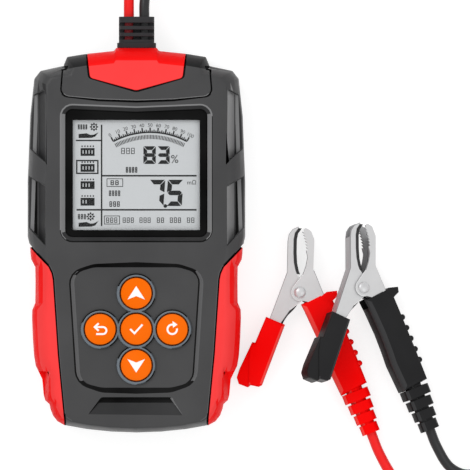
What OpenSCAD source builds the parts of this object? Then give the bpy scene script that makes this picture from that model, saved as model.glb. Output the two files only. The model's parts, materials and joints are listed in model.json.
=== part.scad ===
// Handheld battery tester with two spring clamps on single leads.
// Millimetres. +X is to the right of the display, +Y points to the cable end and
// +Z out of the display face. The tester lies on its back at z = 0, centred on the origin.
// Heights along the housing are counted from its foot, and foot_y puts the foot in the frame.

/* [Housing] */
// Widest width of the housing
body_w = 87.2; // [84:0.1:92]
// Length from the foot to the cable neck
body_l = 154.2; // [150:0.1:165]
// Thickness from the back to the display face
body_t = 28; // [27:0.5:32]
// Height of the joint between the two covers
split_z = 13; // [12:0.5:14]
// Wall of the two covers
wall = 2.2; // [1.8:0.1:2.6]
// Reach of the rounded front edge, in from the side
edge_run = 7; // [5:0.5:8]
// Drop of the rounded front edge
edge_drop = 10; // [8:0.5:11]
// Reach of the rounded back edge
back_round = 2.6; // [1.5:0.1:3.5]
// Seam between neighbouring shells
seam = 0.5; // [0.3:0.05:0.6]

/* [Grips] */
// Width of a side grip beside the keypad
grip_w = 11.7; // [10:0.1:13]
// Wall of a side grip
grip_wall = 2.4; // [2:0.1:3]
// Depth of the thumb hollows in the grips
hollow_d = 1.6; // [1:0.1:2]

/* [Cable end] */
// Thickness of the trim and the cap over the front cover
plate_t = 3.2; // [2.5:0.1:4]
// Half width of the trim
trim_w = 30.1; // [29:0.1:31]
// Half width of the cap
cap_w = 19.2; // [17:0.1:20]
// Length of the cap's front plate
cap_l = 17.2; // [15:0.1:18]
// Half width of the cable neck
neck_w = 8.2; // [8:0.1:9]
// Length of the slotted strain relief outside the neck
relief_l = 12.6; // [10:0.1:16]
// Width of the strain relief
relief_w = 14.2; // [13.5:0.1:15]
// Height of the strain relief
relief_h = 9; // [8:0.1:10]

/* [Display] */
// Width of the display opening
window_w = 56.2; // [54:0.1:57]
// Border of the display beside its visible part
view_side = 2.7; // [2.6:0.1:4]
// Border below the visible part
view_low = 2.5; // [2.4:0.1:4]
// Border above the visible part
view_high = 4.2; // [3.6:0.1:5]
// Depth of the display opening below the face
window_d = 1.6; // [1:0.1:2]

/* [Keys] */
// Spacing of the five keys
key_pitch = 14.4; // [14:0.1:15]
// Diameter of a key
key_d = 12.5; // [12:0.1:13]
// Running gap round a key
key_gap = 0.4; // [0.2:0.05:0.5]
// Height of a key above its surround
key_proud = 0.8; // [0.5:0.1:1.2]
// Travel of a key
key_travel = 0.8; // [0.5:0.1:1]
// Outer diameter of the ring round a key
ring_d = 15.8; // [15:0.1:16.4]
// Height of the key surround above the recessed panel
ring_h = 1.4; // [1:0.1:2]
// Depth of the recessed keypad panel
panel_d = 0.8; // [0.5:0.1:1.2]
// Width of the slope beside the panel
panel_slope = 1.4; // [0.8:0.1:2]

/* [Inside] */
// Thickness of the circuit board
board_t = 1.6; // [1.2:0.1:2]
// Height of the circuit board above the back
board_z = 14.6; // [14:0.1:16]
// Thickness of the display glass
glass_t = 2.4; // [2:0.1:3]
// Diameter of a cover screw
screw_d = 2.9; // [2.6:0.1:3.2]

/* [Leads] */
// Outer diameter of a lead
lead_d = 4.1; // [3.8:0.1:4.3]
// Spacing of the two leads in the strain relief
lead_gap = 6.2; // [6:0.1:6.6]

/* [Clamps] */
// Diameter of the rivet
rivet_d = 3; // [2.5:0.1:3.2]
// Sheet thickness of the levers
sheet_t = 0.8; // [0.6:0.1:0.9]
// Outer width of the free lever's channel
lever_w = 5.6; // [5:0.1:6]
// Length from the rivet to the tips of the jaws
jaw_l = 26.5; // [25:0.1:28]
// Depth of the moulded handle
handle_t = 9.2; // [8.8:0.1:9.6]
// Depth of the lever sleeve
sleeve_t = 8.4; // [8:0.1:8.8]
// Wire of the torsion spring
spring_d = 0.9; // [0.7:0.1:1]

/* [Hidden] */
$fn = 48;
fine = 0.01;
hw = body_w / 2;
foot_y = -(body_l + relief_l) / 2;
// Shares of the housing's length: the display opening's lower edge and height, and the middle key.
window_y = body_l * 0.5104;
window_h = body_l * 0.3288;
keys_y = body_l * 0.2691;
core_w = 16;
core_low = 28;
core_high = body_l - 30;
foot_round = 0.3;
head_round = 0.7;
grip_top = 74.2;
head_y = body_l - 7.4;
window_top = window_y + window_h;
bezel_t = 0.8;
lens_t = 0.8;
ledge = 1.5;
bezel_z = body_t - window_d - bezel_t;
lens_z = bezel_z - lens_t;
glass_z = lens_z - 0.1 - glass_t;
view_w = window_w - 2 * view_side;
view_h = window_h - view_low - view_high;
view_y = window_y + view_low;
panel_z = body_t - panel_d;
keys = [[0, 1], [0, -1], [-1, 0], [0, 0], [1, 0]];
key_top = panel_z + ring_h + key_proud;
key_flange_d = key_d + 1.5;
key_flange_z = body_t - wall - 0.2;
key_flange_t = 1.2;
switch_h = 2.4;
board_top = board_z + board_t;
low_x = hw - grip_w - 7.9;
high_x = hw - 10.6;
cover_screws_at = [for (s = [-1, 1]) each [[s * low_x, 12], [s * high_x, view_y + 15]]];
board_screws_at = [for (s = [-1, 1]) each [[s * (low_x - 2), 24], [s * (high_x - 3), view_y + 31]]];
screw_head_d = 5.4;
boss_d = 6.4;
relief_z = split_z;
relief_flange = 2.1;
relief_groove = 3.4;
chip_w = 14;
capacitor_d = 8;
socket_h = 5;
resistor = [9, 17, 7];
lead_r = lead_d / 2;

// ---- outlines and lofts ----

// Right half of the housing outline, foot to neck: [x, height, depth of the hollow there].
half_outline = [
  for (x = [0, 10, 20]) [x, x * x / 286, 0],
  [hw - 14.6, 3, 0], [hw - 11.9, 4.5, 0], [hw - 10.1, 6.8, 0], [hw - 9.1, 9.5, hollow_d / 2],
  [hw - 8.7, 11.4, hollow_d], [hw - 7, 12.9, hollow_d / 2], [hw - 6.4, 15, hollow_d / 2],
  [hw - 5.8, 21.4, hollow_d / 2], [hw - 3.2, 26.8, 0], [hw - 2.5, 31, 0], [hw - 2, 38, 0],
  [hw - 1.7, 46, 0], [hw - 1.8, 49.2, 0], [hw - 1.4 - hollow_d, 52, hollow_d],
  [hw - 1.5 - hollow_d, 60, hollow_d], [hw - 1.4 - hollow_d, 66.4, hollow_d],
  [hw - 1.4, 69.4, 0], [hw - 1.1, 71.8, 0], [hw - 1, grip_top, 0], [hw, grip_top + 4.4, 0],
  [hw, body_l - 53.8, 0], [hw - 0.4, body_l - 42, 0], [hw - 1, body_l - 27.4, 0],
  [hw - 1.8, body_l - 20.2, 0], [hw - 2.6, body_l - 12.4, 0], [hw - 5.1, body_l - 9.2, 0],
  [trim_w - 0.8, body_l - 7.2, 0], [trim_w - 2.3, body_l - 3.6, 0],
  [cap_w + 0.6, body_l - 2.3, 0], [neck_w + 0.8, body_l - 1.2, 0], [neck_w, body_l, 0]
];
outline = concat(
  half_outline,
  [for (i = [len(half_outline) - 1 : -1 : 1]) let (p = half_outline[i]) [-p[0], p[1], -p[2]]]
);

// One ring of the housing, d in from its outline; hollows fade out towards the face.
function ring(d, fade) = [
  for (p = outline) let (
    q = [max(-core_w, min(core_w, p[0])), max(core_low, min(core_high, p[1]))],
    v = q - [p[0], p[1]],
    u = v / norm(v)
  ) [p[0] + p[2] * fade + u[0] * d, p[1] + u[1] * d * (u[1] > 0 ? foot_round : head_round)]
];

// Section of the housing, back to face: [height, inset].
profile = [
  [0, back_round], [back_round * 0.3, back_round * 0.5], [back_round, 0],
  [body_t - edge_drop, 0], [body_t - edge_drop * 0.66, edge_run * 0.09],
  [body_t - edge_drop * 0.38, edge_run * 0.3], [body_t - edge_drop * 0.17, edge_run * 0.58],
  [body_t - edge_drop * 0.05, edge_run * 0.82], [body_t, edge_run * 1.05]
];

// Solid through rings of equally many points, each ring counter-clockwise along the way.
module skin(rings) {
  n = len(rings[0]);
  m = len(rings);
  polyhedron(
    points = [for (r = rings) each r],
    faces = concat(
      [[for (k = [0 : n - 1]) k]],
      [for (i = [0 : m - 2]) for (k = [0 : n - 1]) let (a = i * n + k, b = i * n + (k + 1) % n)
        each [[a, b + n, b], [a, a + n, b + n]]],
      [[for (k = [n - 1 : -1 : 0]) (m - 1) * n + k]]
    )
  );
}
module loft(rings, heights)
  skin([for (i = [0 : len(rings) - 1]) [for (p = rings[i]) [p[0], p[1], heights[i]]]]);
// Round bar of radius r along points, with a ring square to the way at each of them.
module sweep(points, r, sides) {
  n = len(points);
  skin([for (i = [0 : n - 1]) let (
    way = points[min(n - 1, i + 1)] - points[max(0, i - 1)],
    t = way / norm(way), side = cross(t, [0, 0, 1]), u = side / norm(side), v = cross(t, u)
  ) [for (k = [0 : sides - 1]) points[i] + r * (cos(360 * k / sides) * u + sin(360 * k / sides) * v)]]);
}
// Outline with every corner moved in by d along its mitre.
function shrink(pts, d) = [
  for (i = [0 : len(pts) - 1]) let (
    n = len(pts), a = pts[(i + n - 1) % n], p = pts[i], b = pts[(i + 1) % n],
    u = (p - a) / norm(p - a), w = (b - p) / norm(b - p),
    nu = [-u[1], u[0]], nw = [-w[1], w[0]]
  ) p + (nu + nw) / (1 + max(nu * nw, 0)) * d
];
// Moulded slab of thickness t about z = 0 with softened edges.
module moulded(pts, t, soft) loft(
  [shrink(pts, soft), shrink(pts, soft * 0.3), pts, pts, shrink(pts, soft * 0.3), shrink(pts, soft)],
  [-t / 2, -t / 2 + soft * 0.3, -t / 2 + soft, t / 2 - soft, t / 2 - soft * 0.3, t / 2]
);
module form(levels) {
  loft(
    [for (l = levels) ring(l[1], max(0, min(1, l[1] / edge_run)))],
    [for (l = levels) l[0]]
  );
}
module shell_form() form(profile);
module inner_form() {
  form(concat([for (l = profile) if (l[0] < split_z) [l[0] + wall, l[1] + wall]],
              [for (l = profile) if (l[0] > split_z) [l[0] - wall, l[1] + wall]]));
}

// Polygon with its corners rounded: points are [x, y, radius].
function rounded(pts, steps = 4) = [
  for (i = [0 : len(pts) - 1]) let (
    n = len(pts),
    a = pts[(i + n - 1) % n], p = pts[i], b = pts[(i + 1) % n],
    u = [a[0] - p[0], a[1] - p[1]], v = [b[0] - p[0], b[1] - p[1]],
    un = u / norm(u), vn = v / norm(v),
    half = acos(max(-1, min(1, un * vn))) / 2,
    r = min(p[2], 0.48 * tan(half) * min(norm(u), norm(v))),
    cut = r / tan(half),
    mid = (un + vn) / max(norm(un + vn), fine),
    c = [p[0], p[1]] + mid * r / sin(half),
    s = [p[0], p[1]] + un * cut - c, e = [p[0], p[1]] + vn * cut - c
  ) each (p[2] <= 0 || norm(un + vn) < 0.02 ? [[p[0], p[1]]] :
    [for (k = [0 : steps]) let (t = k / steps, w = s * (1 - t) + e * t) c + w / norm(w) * r])
];
module plate(pts, z0, z1) translate([0, 0, z0]) linear_extrude(z1 - z0) polygon(pts);
module mirrored() {
  children();
  mirror([1, 0, 0]) children();
}
module at_foot() translate([0, foot_y, 0]) children();
module box(x0, x1, y0, y1, z0, z1) translate([x0, y0, z0]) cube([x1 - x0, y1 - y0, z1 - z0]);

// Seam between the dark covers and a grip, right-hand side, moved outwards by gap.
function seam_line(gap) = [
  [hw - grip_w - 3.7 + gap, -4], [hw - grip_w - 3.5 + gap, 5.2], [hw - grip_w - 1 + gap, 31.3],
  [hw - grip_w + 1 + gap, 61.5 - gap / 2], [hw - grip_w + 1.5 + gap, 64 - gap / 2],
  [hw - grip_w + 2.7 + gap, 66.6 - gap / 2], [hw - 4 + gap, grip_top - 2.2 - gap],
  [hw + 6 + gap, grip_top + 9 - gap]
];
covers_plan = concat(
  seam_line(0), [[hw + 6, body_l + 9], [-hw - 6, body_l + 9]],
  [for (i = [7 : -1 : 0]) [-seam_line(0)[i][0], seam_line(0)[i][1]]]
);
grip_plan = concat(seam_line(seam), [[hw + 20, grip_top + 9], [hw + 20, -4]]);

function cap_plan(gap) = rounded([
  [neck_w + 0.5 + gap, body_l + 1, 0], [cap_w + 1 + gap, body_l + 1, 0],
  [cap_w + 0.4 + gap, body_l - 3, 0], [cap_w - 0.7 + gap, body_l - cap_l + 5.1, 1.6],
  [0, body_l - cap_l - gap, 4], [-cap_w + 0.7 - gap, body_l - cap_l + 5.1, 1.6],
  [-cap_w - 0.4 - gap, body_l - 3, 0], [-cap_w - 1 - gap, body_l + 1, 0]
], 4);
trim_low = body_l - cap_l - 4;
function trim_plan(gap) = rounded([
  [trim_w - 1.4 + gap, body_l + 1, 0], [trim_w - 1 + gap, body_l - 7.4, 0],
  [trim_w + gap, trim_low + 1.9, 3], [trim_w / 2, trim_low + 0.5 - gap, 0],
  [0, trim_low - gap, 0], [-trim_w / 2, trim_low + 0.5 - gap, 0],
  [-trim_w - gap, trim_low + 1.9, 3], [-trim_w + 1 - gap, body_l - 7.4, 0],
  [-trim_w + 1.4 - gap, body_l + 1, 0]
], 4);
// What lies over the front cover at the cable end: a front plate and an end wall.
module head_zone(gap) {
  box(-hw, hw, body_l - 40, body_l + 2, body_t - plate_t - gap, body_t + 1);
  box(-hw, hw, head_y - gap, body_l + 2, split_z, body_t + 1);
}

// ---- housing ----

module rear_cover() color("#3d3d3f") at_foot() difference() {
  union() {
    intersection() {
      difference() {
        shell_form();
        intersection() {
          inner_form();
          linear_extrude(body_t) offset(delta = -wall) polygon(covers_plan);
        }
      }
      plate(covers_plan, -1, split_z);
    }
    for (p = cover_screws_at) translate([p[0], p[1], 1]) cylinder(d = boss_d + 1.6, h = split_z - 1.4);
    for (p = board_screws_at) translate([p[0], p[1], 1]) cylinder(d = boss_d, h = board_z - 1);
    box(-neck_w - 1, neck_w + 1, body_l - relief_groove, body_l - 1, 1.5, split_z);
    for (y = [40, 62, 84, 106]) box(-22, 22, y, y + 1.4, wall - 0.5, wall + 2.4);
  }
  for (p = cover_screws_at) translate([p[0], p[1], -1]) {
    cylinder(d = screw_d + 0.4, h = split_z + 2);
    cylinder(d = screw_head_d + 0.6, h = 5);
  }
  for (p = board_screws_at) translate([p[0], p[1], wall]) cylinder(d = screw_d - 0.5, h = board_z);
  relief_neck(0.1, body_l - relief_groove - 1, body_l + 1);
}
module front_cover() color("#4a4a4a") at_foot() difference() {
  union() {
    intersection() {
      difference() {
        shell_form();
        intersection() {
          inner_form();
          difference() {
            linear_extrude(body_t) offset(delta = -wall) polygon(covers_plan);
            box(-hw, hw, head_y - seam - wall, body_l, split_z, body_t);
            box(-hw, hw, trim_low - wall - 1, body_l, body_t - plate_t - seam - wall, body_t);
            mirrored() box(scallop_x - 3.4 - wall, hw, grip_top - 2, body_l,
                           body_t - edge_drop * 0.86 - wall, body_t);
          }
        }
      }
      plate(covers_plan, split_z, body_t + 1);
    }
    plate(window_plan(ledge + wall), bezel_z - 2, body_t - window_d - 0.2);
    for (p = cover_screws_at) translate([p[0], p[1], split_z + 0.4])
      cylinder(d = boss_d, h = body_t - wall - split_z);
  }
  intersection() {
    head_zone(seam);
    plate(trim_plan(seam), split_z, body_t + 2);
  }
  for (p = cover_screws_at) translate([p[0], p[1], split_z - 1])
    cylinder(d = screw_d - 0.4, h = body_t - wall - split_z - 3);
  box(-neck_w, neck_w, head_y - 6, head_y, split_z - 1, split_z + 5);
  window_cut();
  panel_cut();
  for (k = keys) key_at(k) translate([0, 0, body_t - 8]) cylinder(d = key_d + 2 * key_gap, h = 12);
  foot_cut();
  mirrored() side_scallops();
}

// Opening of the display: a sloped frame, a seat for the bezel and the hole behind it.
function window_plan(g) = rounded([
  [window_w / 2 + g, window_y - g, 2.5 + g], [window_w / 2 + g, window_top + g, 2.5 + g],
  [0, window_top - 1.2 + g, 0],
  [-window_w / 2 - g, window_top + g, 2.5 + g], [-window_w / 2 - g, window_y - g, 2.5 + g]
], 5);
module window_cut() {
  loft([window_plan(0.1), window_plan(2.1), window_plan(2.6)],
       [body_t - window_d, body_t, body_t + 0.5]);
  plate(window_plan(0.1), bezel_z, body_t);
  plate(window_plan(-ledge), bezel_z - 3, body_t);
}

// Recessed keypad panel: straight ends on its floor, arched ones at the face.
function panel_plan(g, arch) = rounded([
  [25.4 + g, keys_y + 22.6, 6], [17, keys_y + 25.1 + arch * 0.5, 12], [0, keys_y + 25.1 + arch, 0],
  [-17, keys_y + 25.1 + arch * 0.5, 12], [-25.4 - g, keys_y + 22.6, 6],
  [-22.6 - g, keys_y - 21.5, 7], [-14, keys_y - 23.7 - arch * 0.9, 12], [0, keys_y - 23.7 - arch * 1.5, 0],
  [14, keys_y - 23.7 - arch * 0.9, 12], [22.6 + g, keys_y - 21.5, 7]
], 4);
module panel_cut() {
  loft([panel_plan(0, 0), panel_plan(panel_slope, 1.4), panel_plan(panel_slope * 1.25, 1.7)],
       [panel_z, body_t, body_t + 0.2]);
}
module key_at(k) translate([k[0] * key_pitch, keys_y + k[1] * key_pitch, 0]) children();

// Sloped thumb recess above the foot, deepest at its upper edge.
module foot_cut() intersection() {
  plate(rounded([[-19.4, 6.6, 0], [19.4, 6.6, 0], [13.9, 14, 1.5], [-13.9, 14, 1.5]]),
        body_t - 4, body_t + 1);
  rotate([90, 0, 90]) translate([0, 0, -hw])
    linear_extrude(body_w) polygon([[6.6, body_t + 0.1], [14.2, body_t - 1.5], [14.2, body_t + 2]]);
}

// Two long scallops down each side of the upper housing: steep inner wall, flat floor.
scallop_x = hw - 4.3;
module side_scallops() intersection() {
  rotate([90, 0, 0]) translate([0, 0, -body_l])
    linear_extrude(body_l) polygon([
      [scallop_x - 3.4, body_t + 0.6], [scallop_x, body_t - edge_drop * 0.72],
      [hw + 5, body_t - edge_drop * 0.86], [hw + 5, body_t + 2]
    ]);
  union() {
    plate(rounded([[hw + 4, body_l - 22.5, 0], [hw - 2, body_l - 19.2, 0], [hw - 8.4, body_l - 16, 0],
      [hw - 8.4, body_l - 47, 0], [hw + 4, body_l - 36, 0]]), 0, body_t + 2);
    plate([[hw - 8.4, body_l - 56], [hw + 4, body_l - 48.6],
      [hw + 4, body_l - 66], [hw, body_l - 71.5], [hw - 8.4, body_l - 80.5]], 0, body_t + 2);
  }
}

module grip() color("#ff2b2b") difference() {
  intersection() {
    shell_form();
    plate(grip_plan, -1, body_t + 1);
  }
  plate([[0, 9], [hw - 12, 9], [hw - 5.2 - grip_wall, 26], [hw - 5.2 - grip_wall, 64],
    [hw - 10, 66], [0, 66]], grip_wall, body_t - grip_wall - 0.6);
  grip_hollow(49.5, 69, hw - 1.5);
  grip_hollow(11.8, 26.4, hw - 5.2);
}
// Hollow in a grip's front edge between two heights, its wall leaning inwards from side.
module grip_hollow(low, high, side) intersection() {
  plate([[0, low + 3], [hw - 2.5, low + 1.5], [hw + 5, low], [hw + 5, high],
    [hw - 2.5, high - 1.5], [0, high - 4]], 3, body_t + 1);
  rotate([90, 0, 0]) translate([0, 0, -high - 8]) linear_extrude(high - low + 16) polygon([
    [side - hollow_d - 2.6, body_t + 0.5], [side - hollow_d + 0.2, body_t - edge_drop],
    [hw + 9, body_t - edge_drop], [hw + 9, body_t + 0.5]
  ]);
}
module grip_right() at_foot() grip();
module grip_left() at_foot() mirror([1, 0, 0]) grip();

module top_trim() color("#464648") at_foot() difference() {
  intersection() {
    shell_form();
    head_zone(0);
    plate(trim_plan(0), split_z, body_t + 1);
  }
  plate(cap_plan(seam), 0, body_t + 2);
}
module cable_cap() color("#ff2020") at_foot() difference() {
  intersection() {
    shell_form();
    head_zone(0);
    plate(concat(cap_plan(0), [[0, body_l + 3]]), split_z, body_t + 1);
  }
  relief_neck(0.1, body_l - relief_groove, body_l + 1);
  box(-relief_w / 2 - 1, relief_w / 2 + 1, head_y - 1, body_l - relief_groove, split_z - 1,
      split_z + relief_h / 2 + 1);
}

// ---- strain relief and the leads' tails ----

module section_y(w, h, r, y0, y1) translate([0, y1, relief_z]) rotate([90, 0, 0])
  linear_extrude(y1 - y0)
    polygon(rounded([[w / 2, -h / 2, r], [w / 2, h / 2, r], [-w / 2, h / 2, r], [-w / 2, -h / 2, r]]));
module relief_neck(gap, y0, y1)
  section_y(relief_w - 2.4 + 2 * gap, relief_h - 2.4 + 2 * gap, 2.4, y0, y1);
module lead_bores(d) for (s = [-1, 1])
  translate([s * lead_gap / 2, body_l + relief_l + 1, relief_z]) rotate([90, 0, 0])
    cylinder(d = d, h = relief_l + relief_groove + 10);
module strain_relief() color("#2c2c2e") at_foot() difference() {
  union() {
    section_y(relief_w, relief_h, 3, body_l - relief_groove - 2.4, body_l - relief_groove);
    relief_neck(0, body_l - relief_groove - 1, body_l + 1);
    section_y(relief_w + 1.4, relief_h + 1.4, 3.4, body_l, body_l + relief_flange);
    section_y(relief_w, relief_h, 3, body_l + 1, body_l + relief_l);
  }
  lead_bores(lead_d + 0.1);
  for (i = [0 : 2]) let (y = body_l + relief_flange + 1.3 + i * 2.75) mirror_z(relief_z)
    box(-relief_w, relief_w, y, y + 1.25, relief_z + 1.2, relief_z + relief_h);
}
module mirror_z(z) {
  children();
  translate([0, 0, 2 * z]) mirror([0, 0, 1]) children();
}
module tail(side) at_foot() {
  translate([side * lead_gap / 2, body_l + relief_l, relief_z]) rotate([90, 0, 0])
    cylinder(d = lead_d, h = relief_l + relief_groove + 8);
  translate([side * lead_gap / 2, body_l - relief_groove - 7.6, relief_z]) rotate([90, 0, 0])
    cylinder(d = lead_d * 0.55, h = 3.4);
}
module tail_red() color("#e00000") tail(-1);
module tail_black() color("#2a2a2a") tail(1);

// ---- display ----

module view_plate(g, z0, z1)
  box(-view_w / 2 - g, view_w / 2 + g, view_y - g, view_y + view_h + g, z0, z1);
module display_bezel() color("#121212") at_foot() difference() {
  plate(window_plan(0), bezel_z, bezel_z + bezel_t);
  view_plate(0, bezel_z - 1, body_t);
}
module display_lens() color("#dfe6ea", 0.35) at_foot() plate(window_plan(-ledge - 0.1), lens_z, bezel_z);
module display_glass() color("#cdd0d2") at_foot() {
  view_plate(0.8, glass_z, glass_z + glass_t / 2);
  view_plate(0.5, glass_z + glass_t / 2, glass_z + glass_t);
}
module backlight() color("white") at_foot() {
  view_plate(1.2, glass_z - 3, glass_z);
  for (x = [-1, 1], y = [view_y + 3, view_y + view_h - 3])
    translate([x * (view_w / 2 - 3), y, board_top]) cylinder(d = 3, h = glass_z - 2.5 - board_top);
}

// ---- keys ----

module key_surround() color("#59616a") at_foot() difference() {
  union() {
    for (k = keys) key_at(k) translate([0, 0, panel_z]) {
      cylinder(d = ring_d, h = ring_h - 0.5);
      translate([0, 0, ring_h - 0.5]) cylinder(d1 = ring_d, d2 = ring_d - 1, h = 0.5);
    }
    for (k = keys) if (norm(k) > 0)
      key_at(k / 2) translate([0, 0, panel_z + (ring_h - 0.6) / 2])
        cube([k[0] == 0 ? 6.4 : 3, k[0] == 0 ? 3 : 6.4, ring_h - 0.6], center = true);
  }
  for (k = keys) key_at(k) translate([0, 0, panel_z - 1]) cylinder(d = key_d + 2 * key_gap, h = ring_h + 2);
}
// Key cap with a domed top, a retaining flange under the cover and a plunger.
module key(k) at_foot() key_at(k) {
  dome_h = 1;
  dome_r = (pow(key_d / 2 - 0.6, 2) + dome_h * dome_h) / 2 / dome_h;
  rotate_extrude($fn = 64) polygon(concat(
    [[0, board_top + switch_h + key_travel + 0.1], [2, board_top + switch_h + key_travel + 0.1],
     [2, key_flange_z - key_flange_t], [key_flange_d / 2, key_flange_z - key_flange_t],
     [key_flange_d / 2, key_flange_z], [key_d / 2, key_flange_z], [key_d / 2, key_top - 0.5],
     [key_d / 2 - 0.15, key_top - 0.15]],
    [for (i = [5 : -1 : 0]) let (a = i / 5 * asin((key_d / 2 - 0.6) / dome_r))
      [dome_r * sin(a), key_top + dome_r * cos(a) - dome_r + dome_h]]
  ));
}
module key_up() color("#ff6a00") key(keys[0]);
module key_down() color("#ff6a00") key(keys[1]);
module key_left() color("#ff6a00") key(keys[2]);
module key_middle() color("#ff6a00") key(keys[3]);
module key_right() color("#ff6a00") key(keys[4]);
module key_switches() color("#c9ccd0") at_foot() for (k = keys) key_at(k) {
  translate([-3, -3, board_top]) cube([6, 6, switch_h - 0.8]);
  translate([0, 0, board_top]) cylinder(d = 3.4, h = switch_h);
}

// ---- board and fasteners ----

board_plan = [
  [-low_x - 2, 16.6], [low_x + 2, 16.6], [hw - grip_w - wall - 1.5, 62], [hw - 5.6, 78], [hw - 5.6, body_l - 24],
  [hw - 12, body_l - 16], [-hw + 12, body_l - 16], [-hw + 5.6, body_l - 24], [-hw + 5.6, 78],
  [-hw + grip_w + wall + 1.5, 62]
];
module main_board() color("#1f6b3a") at_foot() difference() {
  plate(board_plan, board_z, board_top);
  for (p = cover_screws_at) translate([p[0], p[1], 0]) cylinder(d = boss_d + 0.6, h = body_t);
  for (p = board_screws_at) translate([p[0], p[1], 0]) cylinder(d = screw_d + 0.2, h = body_t);
}
module board_parts() color("#222326") at_foot() {
  over = view_y + view_h;
  translate([-9, over + 3.4, board_top]) cube([18, 7, socket_h]);
  for (x = [-20, 20]) translate([x, over + 7, board_top]) cylinder(d = capacitor_d, h = socket_h);
  translate([-chip_w / 2, view_y + 7, board_z - 1.4]) cube([chip_w, chip_w, 1.4]);
  for (i = [0 : 3]) translate([12 + i * 4, view_y + 27, board_z - 1.1]) cube([2.6, 4, 1.1]);
  translate([-24, view_y + 3, board_z - 4.5]) cube([11, 4.4, 4.5]);
}
// Ceramic load resistors that draw the test current, on the back of the board.
module load_resistors() color("#e8e4da") at_foot() for (s = [-1, 1])
  translate([s * resistor[0] * 1.2 - resistor[0] / 2, view_y + 35, board_z - resistor[2] - 0.2]) {
    cube(resistor);
    for (y = [2.5, resistor[1] - 2.5])
      translate([resistor[0] / 2, y, resistor[2] - 1]) cylinder(d = 0.9, h = 1.2);
  }
module screw(z0, z1, head) translate([0, 0, z0]) rotate_extrude() polygon([
  [0, 0], [head / 2 - 0.4, 0], [head / 2, 0.4], [head / 2, 2], [screw_d / 2 - 0.25, 2],
  [screw_d / 2 - 0.25, z1 - z0 - 1], [0, z1 - z0]
]);
module cover_screws() color("#8d8f92") at_foot() for (p = cover_screws_at)
  translate([p[0], p[1], 0]) screw(2, body_t - wall - 4.4, screw_head_d);
module board_screws() color("#b9bbbd") at_foot() for (p = board_screws_at)
  translate([p[0], p[1], board_top + 2.02]) mirror([0, 0, 1]) screw(0, 2 + board_t + 6.5, screw_head_d);

// ---- clamps: flat in their own frame, rivet at the origin, jaws towards +Y ----

ear_r = 3.6;
ear_w = lever_w + 0.2;
tip_y = jaw_l;
boot_end = [28.7, -56.5];
boot_from = [21.7, -39];
// Saw teeth down the inner edge of the fixed jaw, from the tip towards the rivet.
tooth_n = 7;
teeth = [for (i = [0 : tooth_n - 1]) let (y = tip_y - 2 - i * 1.25, x = 1.2 + 2.1 * sin(90 * (i + 1) / tooth_n))
  each [[x, y], [x - 0.9, y - 0.15]]];
fixed_lever_plan = concat(
  rounded([[1.4, tip_y, 0.8], [4.4, tip_y - 1.6, 2], [5.8, tip_y - 5.4, 2], [5.4, 9.1, 2], [9.4, -0.2, 0],
    [13, -9.4, 0], [16.4, -18, 1], [13, -19.4, 1], [8.4, -8.4, 2], [4.4, -4.4, 1]], 3),
  [for (a = [285 : -21 : 138]) ear_r * [cos(a), sin(a)]],
  [[-0.5, 5.4], [1.1, 7.2], [2.3, 10.6], [3, 14.2]],
  [for (i = [len(teeth) - 1 : -1 : 0]) teeth[i]]
);
free_inner = [[-1.1, 7.4], [-1.7, 9], [-2.3, 12], [-2.5, 16], [-2.4, tip_y - 5], [-1.9, tip_y - 2.6],
  [-0.4, tip_y - 0.6]];
free_lever_plan = concat(
  [[-0.5, tip_y], [-3, tip_y - 1.1], [-4.5, tip_y - 3.2], [-4.9, tip_y - 5.6], [-5.2, 8], [-11.8, -9.6],
   [-20.8, -32.6], [-19.4, -34.6], [-16.4, -34.2], [-7.4, -12], [-4, -7.2], [-1, -4.9]],
  [for (a = [285 : 25 : 410]) 3.3 * [cos(a), sin(a)]],
  [[0.9, 4.6]], free_inner
);
// Web along the outer edge of a lever, one sheet thick, between two of its outline's points.
function strip(edge, t) = concat(edge, [for (i = [len(edge) - 1 : -1 : 0]) let (
  a = edge[max(0, i - 1)], b = edge[min(len(edge) - 1, i + 1)], w = (b - a) / norm(b - a)
) edge[i] + t * [-w[1], w[0]]]);
fixed_web = strip([[15.9, -16.8], [13, -9.4], [9.4, -0.2], [5.4, 9.1], [5.8, tip_y - 5.4]], sheet_t);
free_web = strip([[-4.95, tip_y - 5.7], [-5.2, 8], [-11.8, -9.6], [-20.5, -31.9]], sheet_t);

module slab(pts, t) translate([0, 0, -t / 2]) linear_extrude(t) polygon(pts);
module rivet_bore(d) translate([0, 0, -20]) cylinder(d = d, h = 40);
module fixed_lever() color("#cdcdcd") difference() {
  union() {
    difference() {
      slab(fixed_lever_plan, ear_w + 2 * sheet_t);
      slab(concat([[-9, tip_y + 2], [-9, -22], [19, -22], [19, tip_y + 2]]), ear_w);
    }
    slab(fixed_web, ear_w + sheet_t);
  }
  rivet_bore(rivet_d + 0.1);
}
module free_lever() color("#cfcfcf") difference() {
  union() {
    difference() {
      slab(free_lever_plan, lever_w);
      slab([[-29, -39], [19, -39], [19, 29], [-29, 29]], lever_w - 2 * sheet_t);
    }
    slab(free_web, lever_w - sheet_t);
  }
  rivet_bore(rivet_d + 0.1);
}
module rivet() color("#d8d8d8") {
  top = ear_w / 2 + sheet_t;
  rotate_extrude() polygon(concat(
    [[0, -top - 0.9], [1.6, -top - 0.7], [2.3, -top - 0.02], [rivet_d / 2, -top - 0.02],
     [rivet_d / 2, top + 0.02]],
    [for (a = [0 : 15 : 90]) [2.35 * cos(a), top + 0.02 + 1.2 * sin(a)]]
  ));
}
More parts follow.
